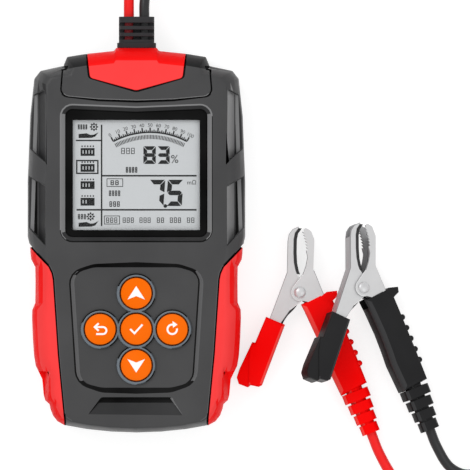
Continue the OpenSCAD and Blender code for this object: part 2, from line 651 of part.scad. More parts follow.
module torsion_spring() color("#303234") {
  coil_r = rivet_d / 2 + 0.5 + spring_d / 2;
  pitch = spring_d * 0.94;
  for (i = [-1.5 : 1 : 1.5]) translate([0, 0, i * pitch]) rotate_extrude()
    translate([coil_r, 0]) circle(d = spring_d, $fn = 20);
  sweep([[0.6, -coil_r, 0], [-0.8, -4.9, 0], [-2.8, -6.6, 0], [-5.2, -9, 0], [-6.9, -11.6, 0]],
        spring_d / 2, 8);
  sweep([[-0.4, -coil_r, 0.02], [1.8, -3.6, 0], [4.4, -5.7, 0]], spring_d / 2, 8);
}
// Dark contact strip that lines the free jaw.
module contact() color("#2b2b2b") slab(concat(
  free_inner, [for (i = [len(free_inner) - 1 : -1 : 0]) free_inner[i] + [1.2, -0.2]]), lever_w);

handle_plan = [
  [0.3, -4.9], [2.7, -9.6], [6.7, -18.2], [9.7, -26], [11.4, -31], [16.6, -41.7],
  [26.9, -36.2], [22.6, -25.4], [15.8, -9], [13.2, -3], [8.2, -0.9]
];
guard_plan = [[12, -5], [13.3, -3.2], [15.1, -1.5], [14.9, 0.7], [10.8, 0.2], [8.4, -1.6]];
module handle_shape() {
  way = [26.9 - 15.8, -36.2 + 9];
  u = way / norm(way);
  moulded(handle_plan, handle_t, 1.9);
  slab(guard_plan, handle_t - 1.6);
  for (i = [0 : 4]) let (p = [15.8, -9] + u * (2.6 + 4.6 * i)) hull()
    for (s = [-1, 1]) translate([p[0] + 0.2, p[1], s * (handle_t / 2 - 2.4)]) sphere(r = 1.25, $fn = 12);
  boot();
}
// Bend relief: rings that shrink towards the lead, joined by a core.
boot_rings = 4;
module boot() {
  way = boot_end - boot_from;
  length = norm(way);
  pitch = length / boot_rings;
  translate([boot_from[0], boot_from[1], 0]) rotate([90, 0, atan2(way[0], -way[1])]) {
    translate([0, 0, -1]) cylinder(d1 = 7, d2 = 5.6, h = length + 0.5);
    for (i = [0 : boot_rings - 1]) let (w = 11 - 1.2 * i, h = handle_t - 0.7 - 0.7 * i)
      translate([0, 0, pitch * i + 0.9]) linear_extrude(pitch - 0.9)
        polygon(rounded([[w / 2, -h / 2, 2.2], [w / 2, h / 2, 2.2], [-w / 2, h / 2, 2.2],
                         [-w / 2, -h / 2, 2.2]], 3));
  }
}
module handle(tint) color(tint) difference() {
  handle_shape();
  fixed_lever();
  translate([0, 0, -ear_w / 2]) cylinder(r = 8.6, h = ear_w);
}
sleeve_plan = [
  [-13.6, -9.8], [-18, -20.2], [-19.2, -20], [-24.4, -31], [-25.4, -34.2], [-24.6, -36.8], [-20.9, -38.2],
  [-19.8, -37.3], [-16.6, -38], [-15.2, -37.3], [-6, -13]
];
// Lower flange along the outer side of the sleeve.
sleeve_flange = [[-18.6, -18], [-30, -18], [-30, -40], [-20.6, -40], [-20.3, -25.6]];
module sleeve(tint) color(tint) difference() {
  moulded(sleeve_plan, sleeve_t, 1.1);
  slab(free_lever_plan, lever_w);
  mirror_z(0) translate([0, 0, sleeve_t / 2 - 0.5]) linear_extrude(2) polygon(sleeve_flange);
}

// ---- the clamps and leads where they lie ----

red_at = [65.6, -27.3, handle_t / 2 + 0.2];
black_tip = [89.2, 0.5, 6.8];
black_roll = 23;
module red_place() translate(red_at) children();
module black_place() translate(black_tip)
  rotate(a = black_roll, v = [-boot_end[0], tip_y - boot_end[1], 0])
    translate([0, -tip_y, 0]) children();
module red_fixed_lever() red_place() fixed_lever();
module red_free_lever() red_place() free_lever();
module red_rivet() red_place() rivet();
module red_spring() red_place() torsion_spring();
module red_contact() red_place() contact();
module red_handle() red_place() handle("#ff1616");
module red_sleeve() red_place() sleeve("#ff1616");
module black_fixed_lever() black_place() fixed_lever();
module black_free_lever() black_place() free_lever();
module black_rivet() black_place() rivet();
module black_spring() black_place() torsion_spring();
module black_contact() black_place() contact();
module black_handle() black_place() handle("#2d2d2d");
module black_sleeve() black_place() sleeve("#2d2d2d");

relief_end = foot_y + body_l + relief_l;
boot_way = (boot_end - boot_from) / norm(boot_end - boot_from);
red_end = [red_at[0] + boot_end[0], red_at[1] + boot_end[1], red_at[2]];
black_end = [black_tip[0] + boot_end[0], black_tip[1] - tip_y + boot_end[1], black_tip[2]];
red_route = [
  [-lead_gap / 2, relief_end, relief_z], [-lead_gap / 2, relief_end + 6, relief_z],
  [-2.8, 96.6, 11.9], [-0.8, 104, 8.6], [4.2, 110.4, 5], [12, 114.6, 2.8], [22, 116.5, 2.1],
  [50, 117, 2.1], [80, 117, 2.1], [110, 117, 2.1], [132, 116.5, 2.1], [142, 114, 2.1],
  [150.5, 108.5, 2.1], [156, 100, 2.1], [158, 90, 2.1], [158.5, 60, 2.1], [158.5, 30, 2.1],
  [158.5, 0, 2.1], [158.5, -30, 2.1], [158.5, -60, 2.1], [158, -84, 2.1], [156, -94, 2.1],
  [151, -103, 2.1], [142.5, -109.5, 2.1], [132, -112.5, 2.1], [121.5, -112.5, 2.3],
  [112, -109.5, 2.8], [104.2, -103, 3.8], red_end + 9 * [boot_way[0], boot_way[1], -0.02], red_end
];
black_route = [
  [lead_gap / 2, relief_end, relief_z], [lead_gap / 2, relief_end + 5, relief_z],
  [3.9, 94.4, 11.8], [6.8, 100.4, 8.6], [12.2, 105.2, 5], [20, 108.6, 2.8], [30, 110, 2.1],
  [55, 110.4, 2.1], [80, 110.4, 2.1], [105, 110.4, 2.1], [128, 110, 2.1], [138, 107.6, 2.1],
  [146, 101.5, 2.1], [150.6, 92.5, 2.1], [151.6, 82, 2.1], [151.8, 55, 2.1], [151.8, 25, 2.1],
  [151.8, -5, 2.1], [151.8, -35, 2.1], [151.6, -65, 2.1], [150.8, -80, 2.2], [147.6, -90.5, 2.4],
  [141, -98, 2.9], [133, -100.6, 3.7], [126, -97.6, 4.9],
  black_end + 7 * [boot_way[0], boot_way[1], -0.05], black_end
];
module lead_red() color("#e00000") sweep(red_route, lead_r, 10);
module lead_black() color("#2a2a2a") sweep(black_route, lead_r, 10);

rear_cover();
front_cover();
grip_left();
grip_right();
top_trim();
cable_cap();
strain_relief();
display_bezel();
display_lens();
display_glass();
backlight();
key_surround();
key_up();
key_down();
key_left();
key_middle();
key_right();
key_switches();
main_board();
board_parts();
load_resistors();
board_screws();
cover_screws();
tail_red();
tail_black();
lead_red();
lead_black();
red_fixed_lever();
red_free_lever();
red_rivet();
red_spring();
red_contact();
red_handle();
red_sleeve();
black_fixed_lever();
black_free_lever();
black_rivet();
black_spring();
black_contact();
black_handle();
black_sleeve();
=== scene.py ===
"""Handheld battery tester with two spring clamps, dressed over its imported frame."""

from __future__ import annotations

import json
import logging
import math
from dataclasses import dataclass, field
from enum import Enum, IntEnum
from typing import Callable, Iterable, Sequence

import bmesh
import bpy
from bmesh.types import BMesh, BMFace, BMVert
from bpy.types import Material, Node, NodeSocket, Object
from mathutils import Matrix, Vector

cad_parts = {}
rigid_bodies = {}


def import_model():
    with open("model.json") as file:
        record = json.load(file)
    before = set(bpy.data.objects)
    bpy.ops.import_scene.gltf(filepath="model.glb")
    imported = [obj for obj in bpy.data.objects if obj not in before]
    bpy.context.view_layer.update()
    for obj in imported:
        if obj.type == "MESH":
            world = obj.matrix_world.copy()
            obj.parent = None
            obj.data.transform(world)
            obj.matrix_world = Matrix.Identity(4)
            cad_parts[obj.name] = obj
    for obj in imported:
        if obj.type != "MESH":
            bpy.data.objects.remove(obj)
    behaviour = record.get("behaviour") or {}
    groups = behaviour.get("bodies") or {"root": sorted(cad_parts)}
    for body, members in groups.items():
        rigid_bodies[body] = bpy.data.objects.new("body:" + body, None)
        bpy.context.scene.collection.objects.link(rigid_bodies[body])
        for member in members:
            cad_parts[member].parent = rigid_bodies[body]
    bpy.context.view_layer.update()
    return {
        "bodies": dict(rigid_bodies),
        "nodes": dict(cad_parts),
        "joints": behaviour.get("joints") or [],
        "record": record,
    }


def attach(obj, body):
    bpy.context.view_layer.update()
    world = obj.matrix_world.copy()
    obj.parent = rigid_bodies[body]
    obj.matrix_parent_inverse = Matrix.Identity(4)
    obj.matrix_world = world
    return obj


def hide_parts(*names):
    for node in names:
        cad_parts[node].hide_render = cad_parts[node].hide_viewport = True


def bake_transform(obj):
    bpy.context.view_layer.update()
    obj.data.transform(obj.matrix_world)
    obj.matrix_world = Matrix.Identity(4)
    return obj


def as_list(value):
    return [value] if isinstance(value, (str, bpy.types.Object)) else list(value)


LOG = logging.getLogger("battery_tester")
FRAME: dict = {}

Point2 = tuple[float, float]
Point3 = tuple[float, float, float]
Colour = tuple[float, float, float]
Cut = tuple[Point3, Point3]
Paint = Callable[[BMFace], int]

MM = 0.001
FOOT_Y = -83.4
FACE_Z = 28.0
ROUNDED = 31
WELD = 0.004 * MM
FLAT = math.radians(0.6)
ROUND_MARGIN = 2.0
BLACK: Colour = (0.0, 0.0, 0.0)
WHITE: Colour = (1.0, 1.0, 1.0)


class Legend(Enum):
    """Symbol printed on a key."""

    UP = "key_up"
    DOWN = "key_down"
    BACK = "key_left"
    ACCEPT = "key_middle"
    RENEW = "key_right"


def tone(code: str) -> Colour:
    """Turns six hexadecimal digits into the linear numbers that a shader takes."""
    parts = [int(code[i : i + 2], 16) / 255 for i in (0, 2, 4)]
    return tuple(v / 12.92 if v <= 0.04045 else ((v + 0.055) / 1.055) ** 2.4 for v in parts)


def mix(a: Colour, b: Colour, share: float) -> Colour:
    """Colour that lies the given share of the way from a to b."""
    return tuple(x + (y - x) * share for x, y in zip(a, b))


# ---- finishes ----


class Sheet:
    """Node sheet of one material, with short calls to add and join its nodes."""

    def __init__(self, name: str) -> None:
        """Starts a material with an empty node sheet and an output.

        Args:
            name: Name of the material.
        """
        self.material = bpy.data.materials.new(name)
        self.material.use_nodes = True
        self.tree = self.material.node_tree
        self.tree.nodes.clear()
        self.output = self.tree.nodes.new("ShaderNodeOutputMaterial")
        self.place = self.add("ShaderNodeTexCoord").outputs["Object"]

    def add(self, kind: str, **settings: object) -> Node:
        """Adds a node.

        Args:
            kind: Type name of the node.
            **settings: Attributes of the node, or values of its input sockets.

        Returns:
            The new node.
        """
        node = self.tree.nodes.new(kind)
        for key, value in settings.items():
            if hasattr(node, key):
                setattr(node, key, value)
            else:
                node.inputs[key.replace("_", " ")].default_value = value
        return node

    def feed(self, node: Node, **sockets: NodeSocket) -> None:
        """Joins output sockets to the inputs of a node, by name."""
        for key, socket in sockets.items():
            self.join(socket, node.inputs[key.replace("_", " ")])

    def join(self, start: NodeSocket, end: NodeSocket) -> None:
        """Links an output socket to an input socket."""
        self.tree.links.new(start, end)

    def noise(self, scale: float, detail: float = 2.0, rough: float = 0.5,
              place: NodeSocket | None = None) -> NodeSocket:
        """Adds noise on the piece's own coordinates.

        Args:
            scale: Features to the metre.
            detail: Octaves.
            rough: Strength of the finer octaves.
            place: Coordinates to use instead of the piece's own.

        Returns:
            The noise's factor.
        """
        node = self.add("ShaderNodeTexNoise", Scale=scale, Detail=detail, Roughness=rough)
        self.feed(node, Vector=place or self.place)
        return node.outputs["Fac"]

    def spread(self, factor: NodeSocket, low: float, high: float) -> NodeSocket:
        """Stretches a noise's middle part over the range from low to high.

        Args:
            factor: The noise.
            low: Value where the noise is low.
            high: Value where it is high.

        Returns:
            The stretched value.
        """
        node = self.add("ShaderNodeMapRange", From_Min=0.3, From_Max=0.7, To_Min=low, To_Max=high)
        self.feed(node, Value=factor)
        return node.outputs["Result"]

    def blend(self, factor: NodeSocket, first: Colour, second: Colour) -> NodeSocket:
        """Mixes two colours by a factor and returns the mixed colour.

        Args:
            factor: Share of the second colour.
            first: Colour at 0.
            second: Colour at 1.

        Returns:
            The mixed colour.
        """
        node = self.add("ShaderNodeMix", data_type="RGBA")
        node.inputs[6].default_value = (*first, 1.0)
        node.inputs[7].default_value = (*second, 1.0)
        self.feed(node, Factor=factor)
        return node.outputs[2]

    def bump(self, height: NodeSocket, strength: float, distance: float) -> NodeSocket:
        """Adds relief from a height and returns the normal.

        Args:
            height: The height.
            strength: Share of the relief that shows.
            distance: Depth of the relief in metres.

        Returns:
            The normal.
        """
        node = self.add("ShaderNodeBump", Strength=strength, Distance=distance)
        self.feed(node, Height=height)
        return node.outputs["Normal"]

    def shade(self, **values: object) -> Node:
        """Adds the main shader with its constant sockets and joins it to the output.

        Args:
            **values: Values of the shader's sockets.

        Returns:
            The shader.
        """
        node = self.add("ShaderNodeBsdfPrincipled", **values)
        self.feed(self.output, Surface=node.outputs[0])
        return node


@dataclass(frozen=True)
class Moulded:
    """Moulded plastic or rubber with a fine tool texture and slightly uneven gloss."""

    name: str
    code: str
    roughness: float = 0.5
    grain: float = 2600.0
    relief: float = 0.16
    mottle: float = 0.10
    specular: float = 0.4
    coat: float = 0.0

    def build(self) -> Material:
        """Builds the material.

        Returns:
            The material.
        """
        sheet, colour = Sheet(self.name), tone(self.code)
        shader = sheet.shade(Specular_IOR_Level=self.specular, Coat_Weight=self.coat,
                             Coat_Roughness=0.12)
        cloud = sheet.spread(sheet.noise(38.0, 3.0), 0.0, 1.0)
        dark = mix(colour, BLACK, self.mottle)
        light = mix(colour, WHITE, self.mottle * 0.12)
        gloss = sheet.noise(120.0, 4.0)
        fine = sheet.noise(self.grain, 3.0, 0.62)
        sheet.feed(shader, Base_Color=sheet.blend(cloud, dark, light),
                   Roughness=sheet.spread(gloss, self.roughness - 0.06, self.roughness + 0.08),
                   Normal=sheet.bump(fine, self.relief, 0.00012))
        return sheet.material


@dataclass(frozen=True)
class Metal:
    """Metal with fine brushed lines along one direction."""

    name: str
    colour: Colour
    roughness: float = 0.3
    tarnish: float = 0.18
    metallic: float = 1.0
    relief: float = 0.1

    def build(self) -> Material:
        """Builds the material.

        Returns:
            The material.
        """
        sheet = Sheet(self.name)
        shader = sheet.shade(Metallic=self.metallic)
        turn = sheet.add("ShaderNodeMapping", Scale=(300.0, 4200.0, 4200.0))
        sheet.feed(turn, Vector=sheet.place)
        brushed = sheet.noise(1.0, 3.0, 0.6, turn.outputs["Vector"])
        cloud = sheet.spread(sheet.noise(160.0, 4.0, 0.6), 0.0, 1.0)
        dull = mix(self.colour, BLACK, self.tarnish)
        sheet.feed(shader, Base_Color=sheet.blend(cloud, dull, self.colour),
                   Roughness=sheet.spread(brushed, self.roughness * 0.75, self.roughness * 1.35),
                   Normal=sheet.bump(brushed, self.relief, 0.00006))
        return sheet.material


@dataclass(frozen=True)
class Lens:
    """Clear acrylic window with very fine wipe marks."""

    name: str
    alpha: float = 0.018

    def build(self) -> Material:
        """Builds the material.

        Returns:
            The material.
        """
        sheet = Sheet(self.name)
        shader = sheet.shade(Base_Color=(0.92, 0.95, 0.96, 1.0), Alpha=self.alpha,
                             Specular_IOR_Level=0.05)
        sheet.feed(shader, Roughness=sheet.spread(sheet.noise(90.0, 5.0, 0.7), 0.03, 0.1))
        return sheet.material


@dataclass(frozen=True)
class Crystal:
    """Grey ground of a reflective liquid crystal panel, with its fine silver grain."""

    name: str
    code: str

    def build(self) -> Material:
        """Builds the material.

        Returns:
            The material.
        """
        sheet, colour = Sheet(self.name), tone(self.code)
        shader = sheet.shade(Roughness=0.45, Specular_IOR_Level=0.35)
        grain = sheet.spread(sheet.noise(5200.0, 2.0, 0.7), 0.0, 1.0)
        sheet.feed(shader, Base_Color=sheet.blend(grain, mix(colour, BLACK, 0.05), colour))
        return sheet.material


@dataclass(frozen=True)
class Stage:
    """Pale ground that keeps the object's shadow and shows as nearly white."""

    name: str
    grey: float = 0.42
    lift: float = 0.74

    def build(self) -> Material:
        """Builds the material.

        Returns:
            The material.
        """
        sheet = Sheet(self.name)
        rays = sheet.add("ShaderNodeLightPath")
        seen = sheet.add("ShaderNodeMath", operation="MAXIMUM")
        for kind, end in zip(("Is Camera Ray", "Is Glossy Ray"), seen.inputs):
            sheet.join(rays.outputs[kind], end)
        scale = sheet.add("ShaderNodeMath", operation="MULTIPLY")
        scale.inputs[1].default_value = self.lift
        sheet.join(seen.outputs[0], scale.inputs[0])
        matt = sheet.add("ShaderNodeBsdfDiffuse", Color=(self.grey, self.grey, self.grey, 1.0))
        glow = sheet.add("ShaderNodeEmission")
        sheet.feed(glow, Strength=scale.outputs[0])
        total = sheet.add("ShaderNodeAddShader")
        for part, end in zip((matt, glow), total.inputs):
            sheet.join(part.outputs[0], end)
        sheet.feed(sheet.output, Surface=total.outputs[0])
        return sheet.material


FINISHES = (
    Moulded("charcoal_moulding", "3d3d3e", 0.42, 3000.0, 0.22, 0.08, 0.34),
    # Lighter and darker copies of the charcoal: painted highlights on lit edges, slopes and strips,
    # painted shade in recesses, and near-black painted shade under edges, in seams and round the
    # keys' rings.
    Moulded("charcoal_painted_highlight", "7c7c7d", 0.36, 3000.0, 0.08, 0.05, 0.4),
    Moulded("charcoal_painted_shade", "2c2c2d", 0.55, 3000.0, 0.22, 0.1, 0.18),
    Moulded("charcoal_painted_deep_shade", "070707", 0.7, 3000.0, 0.2, 0.1, 0.04),
    Moulded("charcoal_painted_soft_highlight", "5a5a5b", 0.4, 3000.0, 0.1, 0.05, 0.25),
    Moulded("charcoal_trim", "3c3c3d", 0.42, 3000.0, 0.18, 0.08, 0.34),
    # Darker copy of the trim charcoal: painted shade on the trim's sloped end.
    Moulded("charcoal_trim_painted_shade", "151516", 0.5, 3000.0, 0.18, 0.08, 0.16),
    # Lighter red copy: painted highlight on the grips' faces and the cap's top; the plain red goes
    # on what slopes away.
    Moulded("red_grip_painted_highlight", "ff3a3a", 0.4, 2200.0, 0.06, 0.05, 0.2),
    Moulded("red_grip_side", "ff0000", 0.45, 2200.0, 0.06, 0.05, 0.1),
    Moulded("black_rubber", "242427", 0.55, 1800.0, 0.3, 0.14, 0.3),
    Moulded("gloss_black", "020202", 0.35, 1500.0, 0.02, 0.05, 0.06),
    Moulded("liquid_crystal_segments", "020202", 0.8, 4000.0, 0.02, 0.0, 0.02),
    Moulded("white_diffuser", "e8e8e6", 0.5, 2500.0, 0.08, 0.03, 0.4),
    # Keys' surround: the pale tone is the rings' tops and, as painted highlight, their lower-left
    # slopes; the darker slate is painted shade on the slopes to the right.
    Moulded("surround_slate", "454a4f", 0.36, 2600.0, 0.12, 0.08, 0.3),
    Moulded("surround_pale_and_painted_highlight", "6c757d", 0.3, 2600.0, 0.05, 0.05, 0.4),
    Moulded("orange_key", "ff6f00", 0.45, 2000.0, 0.04, 0.05, 0.02),
    # Dark brown copy of the orange: painted shade on the keys' steep rims, where the gap round each
    # key is in shade.
    Moulded("orange_key_painted_shade", "592700", 0.5, 2000.0, 0.05, 0.08, 0.1),
    Moulded("white_print", "ffffff", 0.4, 3000.0, 0.02, 0.02, 0.4),
    Moulded("green_mask", "1f6b3a", 0.3, 1200.0, 0.1, 0.2, 0.5, 0.3),
    Moulded("moulded_epoxy", "222326"),
    Moulded("white_ceramic", "e4e0d6", 0.6, 1500.0, 0.3, 0.06),
    # Dark strip along the free jaw's inner edge: painted shade standing for the shade inside the
    # jaw's folded sheet.
    Moulded("jaw_strip_painted_shade", "242425", 0.42, specular=0.3),
    # Darker red copy: painted shade on the red lead's end inside the strain relief, seen through
    # its slots.
    Moulded("red_tail_painted_shade", "950012", 0.36, 1600.0, 0.06, 0.08, 0.25),
    Moulded("red_lead_sheath", "f90a0a", 0.36, 1600.0, 0.06, 0.08, 0.25),
    Moulded("black_lead_sheath", "1c1c1e", 0.34, 1600.0, 0.1, 0.1, 0.4),
    # Clamp dips: the edge tone is a lighter copy, a painted highlight on the softened edges that
    # face one way, and the side tone a darker copy, painted shade on what slopes away.
    *(Moulded(f"{side}_vinyl_{name}", code, rough, 1800.0, 0.06, 0.04, shine)
      for side, shine, codes in (("red", 0.02, ("ff0000", "ff4b45", "ed0000")),
                                 ("black", 0.08, ("242425", "3b3b3c", "141415")))
      for name, rough, code in zip(("face", "edge", "side"), (0.34, 0.28, 0.4), codes)),
    Metal("nickel_sheet", (0.68, 0.68, 0.685), 0.42, 0.05, 0.3),
    # Lighter and darker copies of the levers' nickel: a painted highlight line round the rivet, a
    # painted dark outline along the edges, and painted shade inside the channels and on the side
    # walls.
    Metal("nickel_painted_highlight", WHITE, 0.3, 0.02, 0.2, 0.02),
    Metal("nickel_painted_outline_shade", (0.3, 0.3, 0.305), 0.4, 0.05, 0.3),
    Metal("nickel_painted_shade", (0.5, 0.5, 0.51), 0.45, 0.1, 0.4),
    Metal("rivet_steel", (0.72, 0.72, 0.73), 0.4, 0.08, 0.6, 0.02),
    Metal("blackened_wire", (0.07, 0.072, 0.075), 0.4, 0.3, 0.6),
    Metal("screw_zinc", (0.6, 0.61, 0.62), 0.34),
    Metal("tinned_copper", (0.75, 0.76, 0.78), 0.35),
    Lens("clear_lens"),
    Crystal("liquid_crystal_ground", "c8cbcd"),
)


class Finishes:
    """All finishes of the tester, each built once and shared by its pieces."""

    def __init__(self) -> None:
        """Builds every finish."""
        self.made = {row.name: row.build() for row in FINISHES}

    def __getitem__(self, name: str) -> Material:
        """Finish of one name."""
        return self.made[name]

    def some(self, *names: str) -> tuple[Material, ...]:
        """Finishes for the slots of a piece, in their order."""
        return tuple(self.made[name] for name in names)


# ---- making and placing meshes ----


def piece_from(name: str, bm: BMesh, materials: Sequence[Material], angle: float = 32.0,
               smooth: bool = True) -> Object:
    """Makes a finished object of a bmesh.

    Args:
        name: Name of the piece.
        bm: The mesh in metres, in the row frame. It is freed.
        materials: Materials for the slots.
        angle: Edges sharper than this, in degrees, stay sharp.
        smooth: Whether faces are shaded smoothly.

    Returns:
        The object, linked to the scene.
    """
    mesh = bpy.data.meshes.new(name)
    bm.to_mesh(mesh)
    bm.free()
    for material in materials:
        mesh.materials.append(material)
    for face in mesh.polygons:
        face.use_smooth = smooth
    if smooth:
        mesh.set_sharp_from_angle(angle=math.radians(angle))
    return placed(name, mesh)


def placed(name: str, data: bpy.types.ID) -> Object:
    """Puts data in the scene as an object.

    Args:
        name: Name of the object.
        data: Its mesh, curve, lamp or camera.

    Returns:
        The object.
    """
    piece = bpy.data.objects.new(name, data)
    bpy.context.scene.collection.objects.link(piece)
    return piece


def unfold(bm: BMesh) -> None:
    """Fills a flat end afresh where one of its triangles lies folded over another.

    Args:
        bm: The mesh.
    """
    bm.normal_update()
    least = 0.02 * MM * MM
    folds = [edge for edge in bm.edges if edge.is_manifold
             and min(face.calc_area() for face in edge.link_faces) > least
             and edge.link_faces[0].normal.dot(edge.link_faces[1].normal) < -0.99]
    for fold in folds:
        if not fold.is_valid:
            continue
        seed = max(fold.link_faces, key=lambda face: face.calc_area())
        normal, place = seed.normal.copy(), seed.verts[0].co.copy()
        flat = {face for face in bm.faces if abs(face.normal.dot(normal)) > 0.999
                and all(abs((vert.co - place).dot(normal)) < 0.01 * MM for vert in face.verts)}
        rim = [edge for edge in bm.edges if len(flat.intersection(edge.link_faces)) == 1]
        bmesh.ops.delete(bm, geom=list(flat), context="FACES")
        bmesh.ops.triangle_fill(bm, use_beauty=True, use_dissolve=False, edges=rim, normal=normal)
    bm.normal_update()


def chamfer(bm: BMesh, width: float, angle: float, least: float) -> None:
    """Rounds a mesh's sharp edges and marks the new faces with the ROUNDED slot.

    Args:
        bm: The mesh.
        width: Width of the rounding in millimetres.
        angle: Only edges sharper than this, in degrees, are rounded.
        least: Only edges longer than this, in millimetres, are rounded.
    """
    bm.normal_update()
    sharp = [edge for edge in bm.edges
             if edge.is_manifold and edge.calc_face_angle(0.0) > math.radians(angle)
             and edge.calc_length() > least * MM]
    made = bmesh.ops.bevel(bm, geom=sharp, offset=width * MM, offset_type="OFFSET", segments=2,
                           profile=0.5, affect="EDGES", clamp_overlap=False, material=-1)
    for face in made["faces"]:
        face.material_index = ROUNDED
    bm.normal_update()


def recast(node: str, name: str, body: str, material_slot: str, materials: Sequence[Material],
           width: float, angle: float, slot: int = -1, paint: Paint | None = None,
           cuts: Sequence[Cut] = (), edge_paint: Paint | None = None,
           least: float = 0.0) -> Object:
    """Copies a node's solid, merges its loose triangles, and rounds its edges.

    Args:
        node: The node that the piece stands for.
        name: Name of the piece.
        body: Body that it rides on.
        material_slot: The record's material slot. Not used.
        materials: Materials for its slots.
        width: Width of the rounded edges in millimetres.
        angle: Edges sharper than this, in degrees, stay sharp or are rounded.
        slot: Material slot of the rounded edges.
        paint: Gives each face its material slot.
        cuts: Planes, a point in metres and a normal, that part faces before they are painted.
        edge_paint: Gives each face of the rounded edges its own slot, in place of one for all.
        least: With an edge_paint, only edges longer than this, in millimetres, are rounded.

    Returns:
        The piece.
    """
    bm = bmesh.new()
    bm.from_mesh(FRAME["nodes"][node].data)
    bmesh.ops.remove_doubles(bm, verts=bm.verts, dist=WELD)
    unfold(bm)
    bmesh.ops.dissolve_limit(bm, angle_limit=FLAT, verts=bm.verts, edges=bm.edges)
    if edge_paint:
        chamfer(bm, width, angle + ROUND_MARGIN, least)
    for point, normal in cuts:
        bmesh.ops.bisect_plane(bm, geom=bm.verts[:] + bm.edges[:] + bm.faces[:],
                               plane_co=point, plane_no=normal)
    for face in bm.faces:
        if edge_paint and face.material_index == ROUNDED:
            face.material_index = edge_paint(face)
        elif paint:
            face.material_index = paint(face)
    piece = piece_from(name, bm, materials, angle)
    if width and not edge_paint:
        bevel = piece.modifiers.new("softened_edges", "BEVEL")
        bevel.width, bevel.segments, bevel.material = width * MM, 2, slot
        bevel.limit_method = "ANGLE"
        bevel.angle_limit = math.radians(angle + ROUND_MARGIN)
    piece.modifiers.new("even_shading", "WEIGHTED_NORMAL").keep_sharp = True
    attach(piece, body)
    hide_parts(node)
    return piece


def dress(node: str, material: Material) -> None:
    """Gives a node that keeps its own mesh a finish.

    Args:
        node: The node.
        material: Its finish.
    """
    target = FRAME["nodes"][node].data
    target.materials.clear()
    target.materials.append(material)
    for face in target.polygons:
        face.material_index = 0


# ---- sub-assemblies ----


class Shade(IntEnum):
    """Slots of the housing's dark pieces: the plain face, painted shade, painted highlight,
    near-black painted shade and a softer painted highlight.
    """

    FACE = 0
    PAINTED_SHADE = 1
    LIT = 2
    PAINTED_DEEP_SHADE = 3
    PAINTED_SOFT_HIGHLIGHT = 4


class Trim(IntEnum):
    """Slots of the trim: the plain face, a painted highlight at the lower seam, painted shade on
    the sloped end and near-black painted shade round the cap.
    """

    FACE = 0
    SEAM_PAINTED_HIGHLIGHT = 1
    BAND_PAINTED_SHADE = 2
    PAINTED_DEEP_SHADE = 3


class Grip(IntEnum):
    """Slots of the red grips and the cap: the face with its lighter red of painted highlight, and
    the plain red side.
    """

    FACE = 0
    SIDE = 1


class Ring(IntEnum):
    """Slots of the keys' surround: pale tops and painted highlight, slate painted shade, and
    near-black painted shadow.
    """

    PALE = 0
    SLATE = 1
    SHADOW = 2


class Key(IntEnum):
    """Slots of a key: the orange top and the rim with its painted shade."""

    TOP = 0
    RIM_PAINTED_SHADE = 1


class Lever(IntEnum):
    """Slots of a clamp's levers: the plain face, a painted highlight, painted shade inside and a
    painted dark outline on the rims.
    """

    FACE = 0
    LIT = 1
    INSIDE_PAINTED_SHADE = 2
    RIM_PAINTED_SHADE = 3


class Dip(IntEnum):
    """Slots of a clamp's dipped handle and sleeve: the face, a lighter painted highlight on one
    side's softened edges and a darker painted shade on what slopes away.
    """

    FACE = 0
    PAINTED_HIGHLIGHT = 1
    SIDE = 2


@dataclass(frozen=True)
class Region:
    """Part of the front between two heights from the foot, and up to a width from the middle."""

    low: float
    high: float
    half: float

    def holds(self, across: float, height: float, more: float = 0.0) -> bool:
        """Whether a place lies in the region, or at most a little more beyond it."""
        return self.low - more < height < self.high + more and across < self.half + more


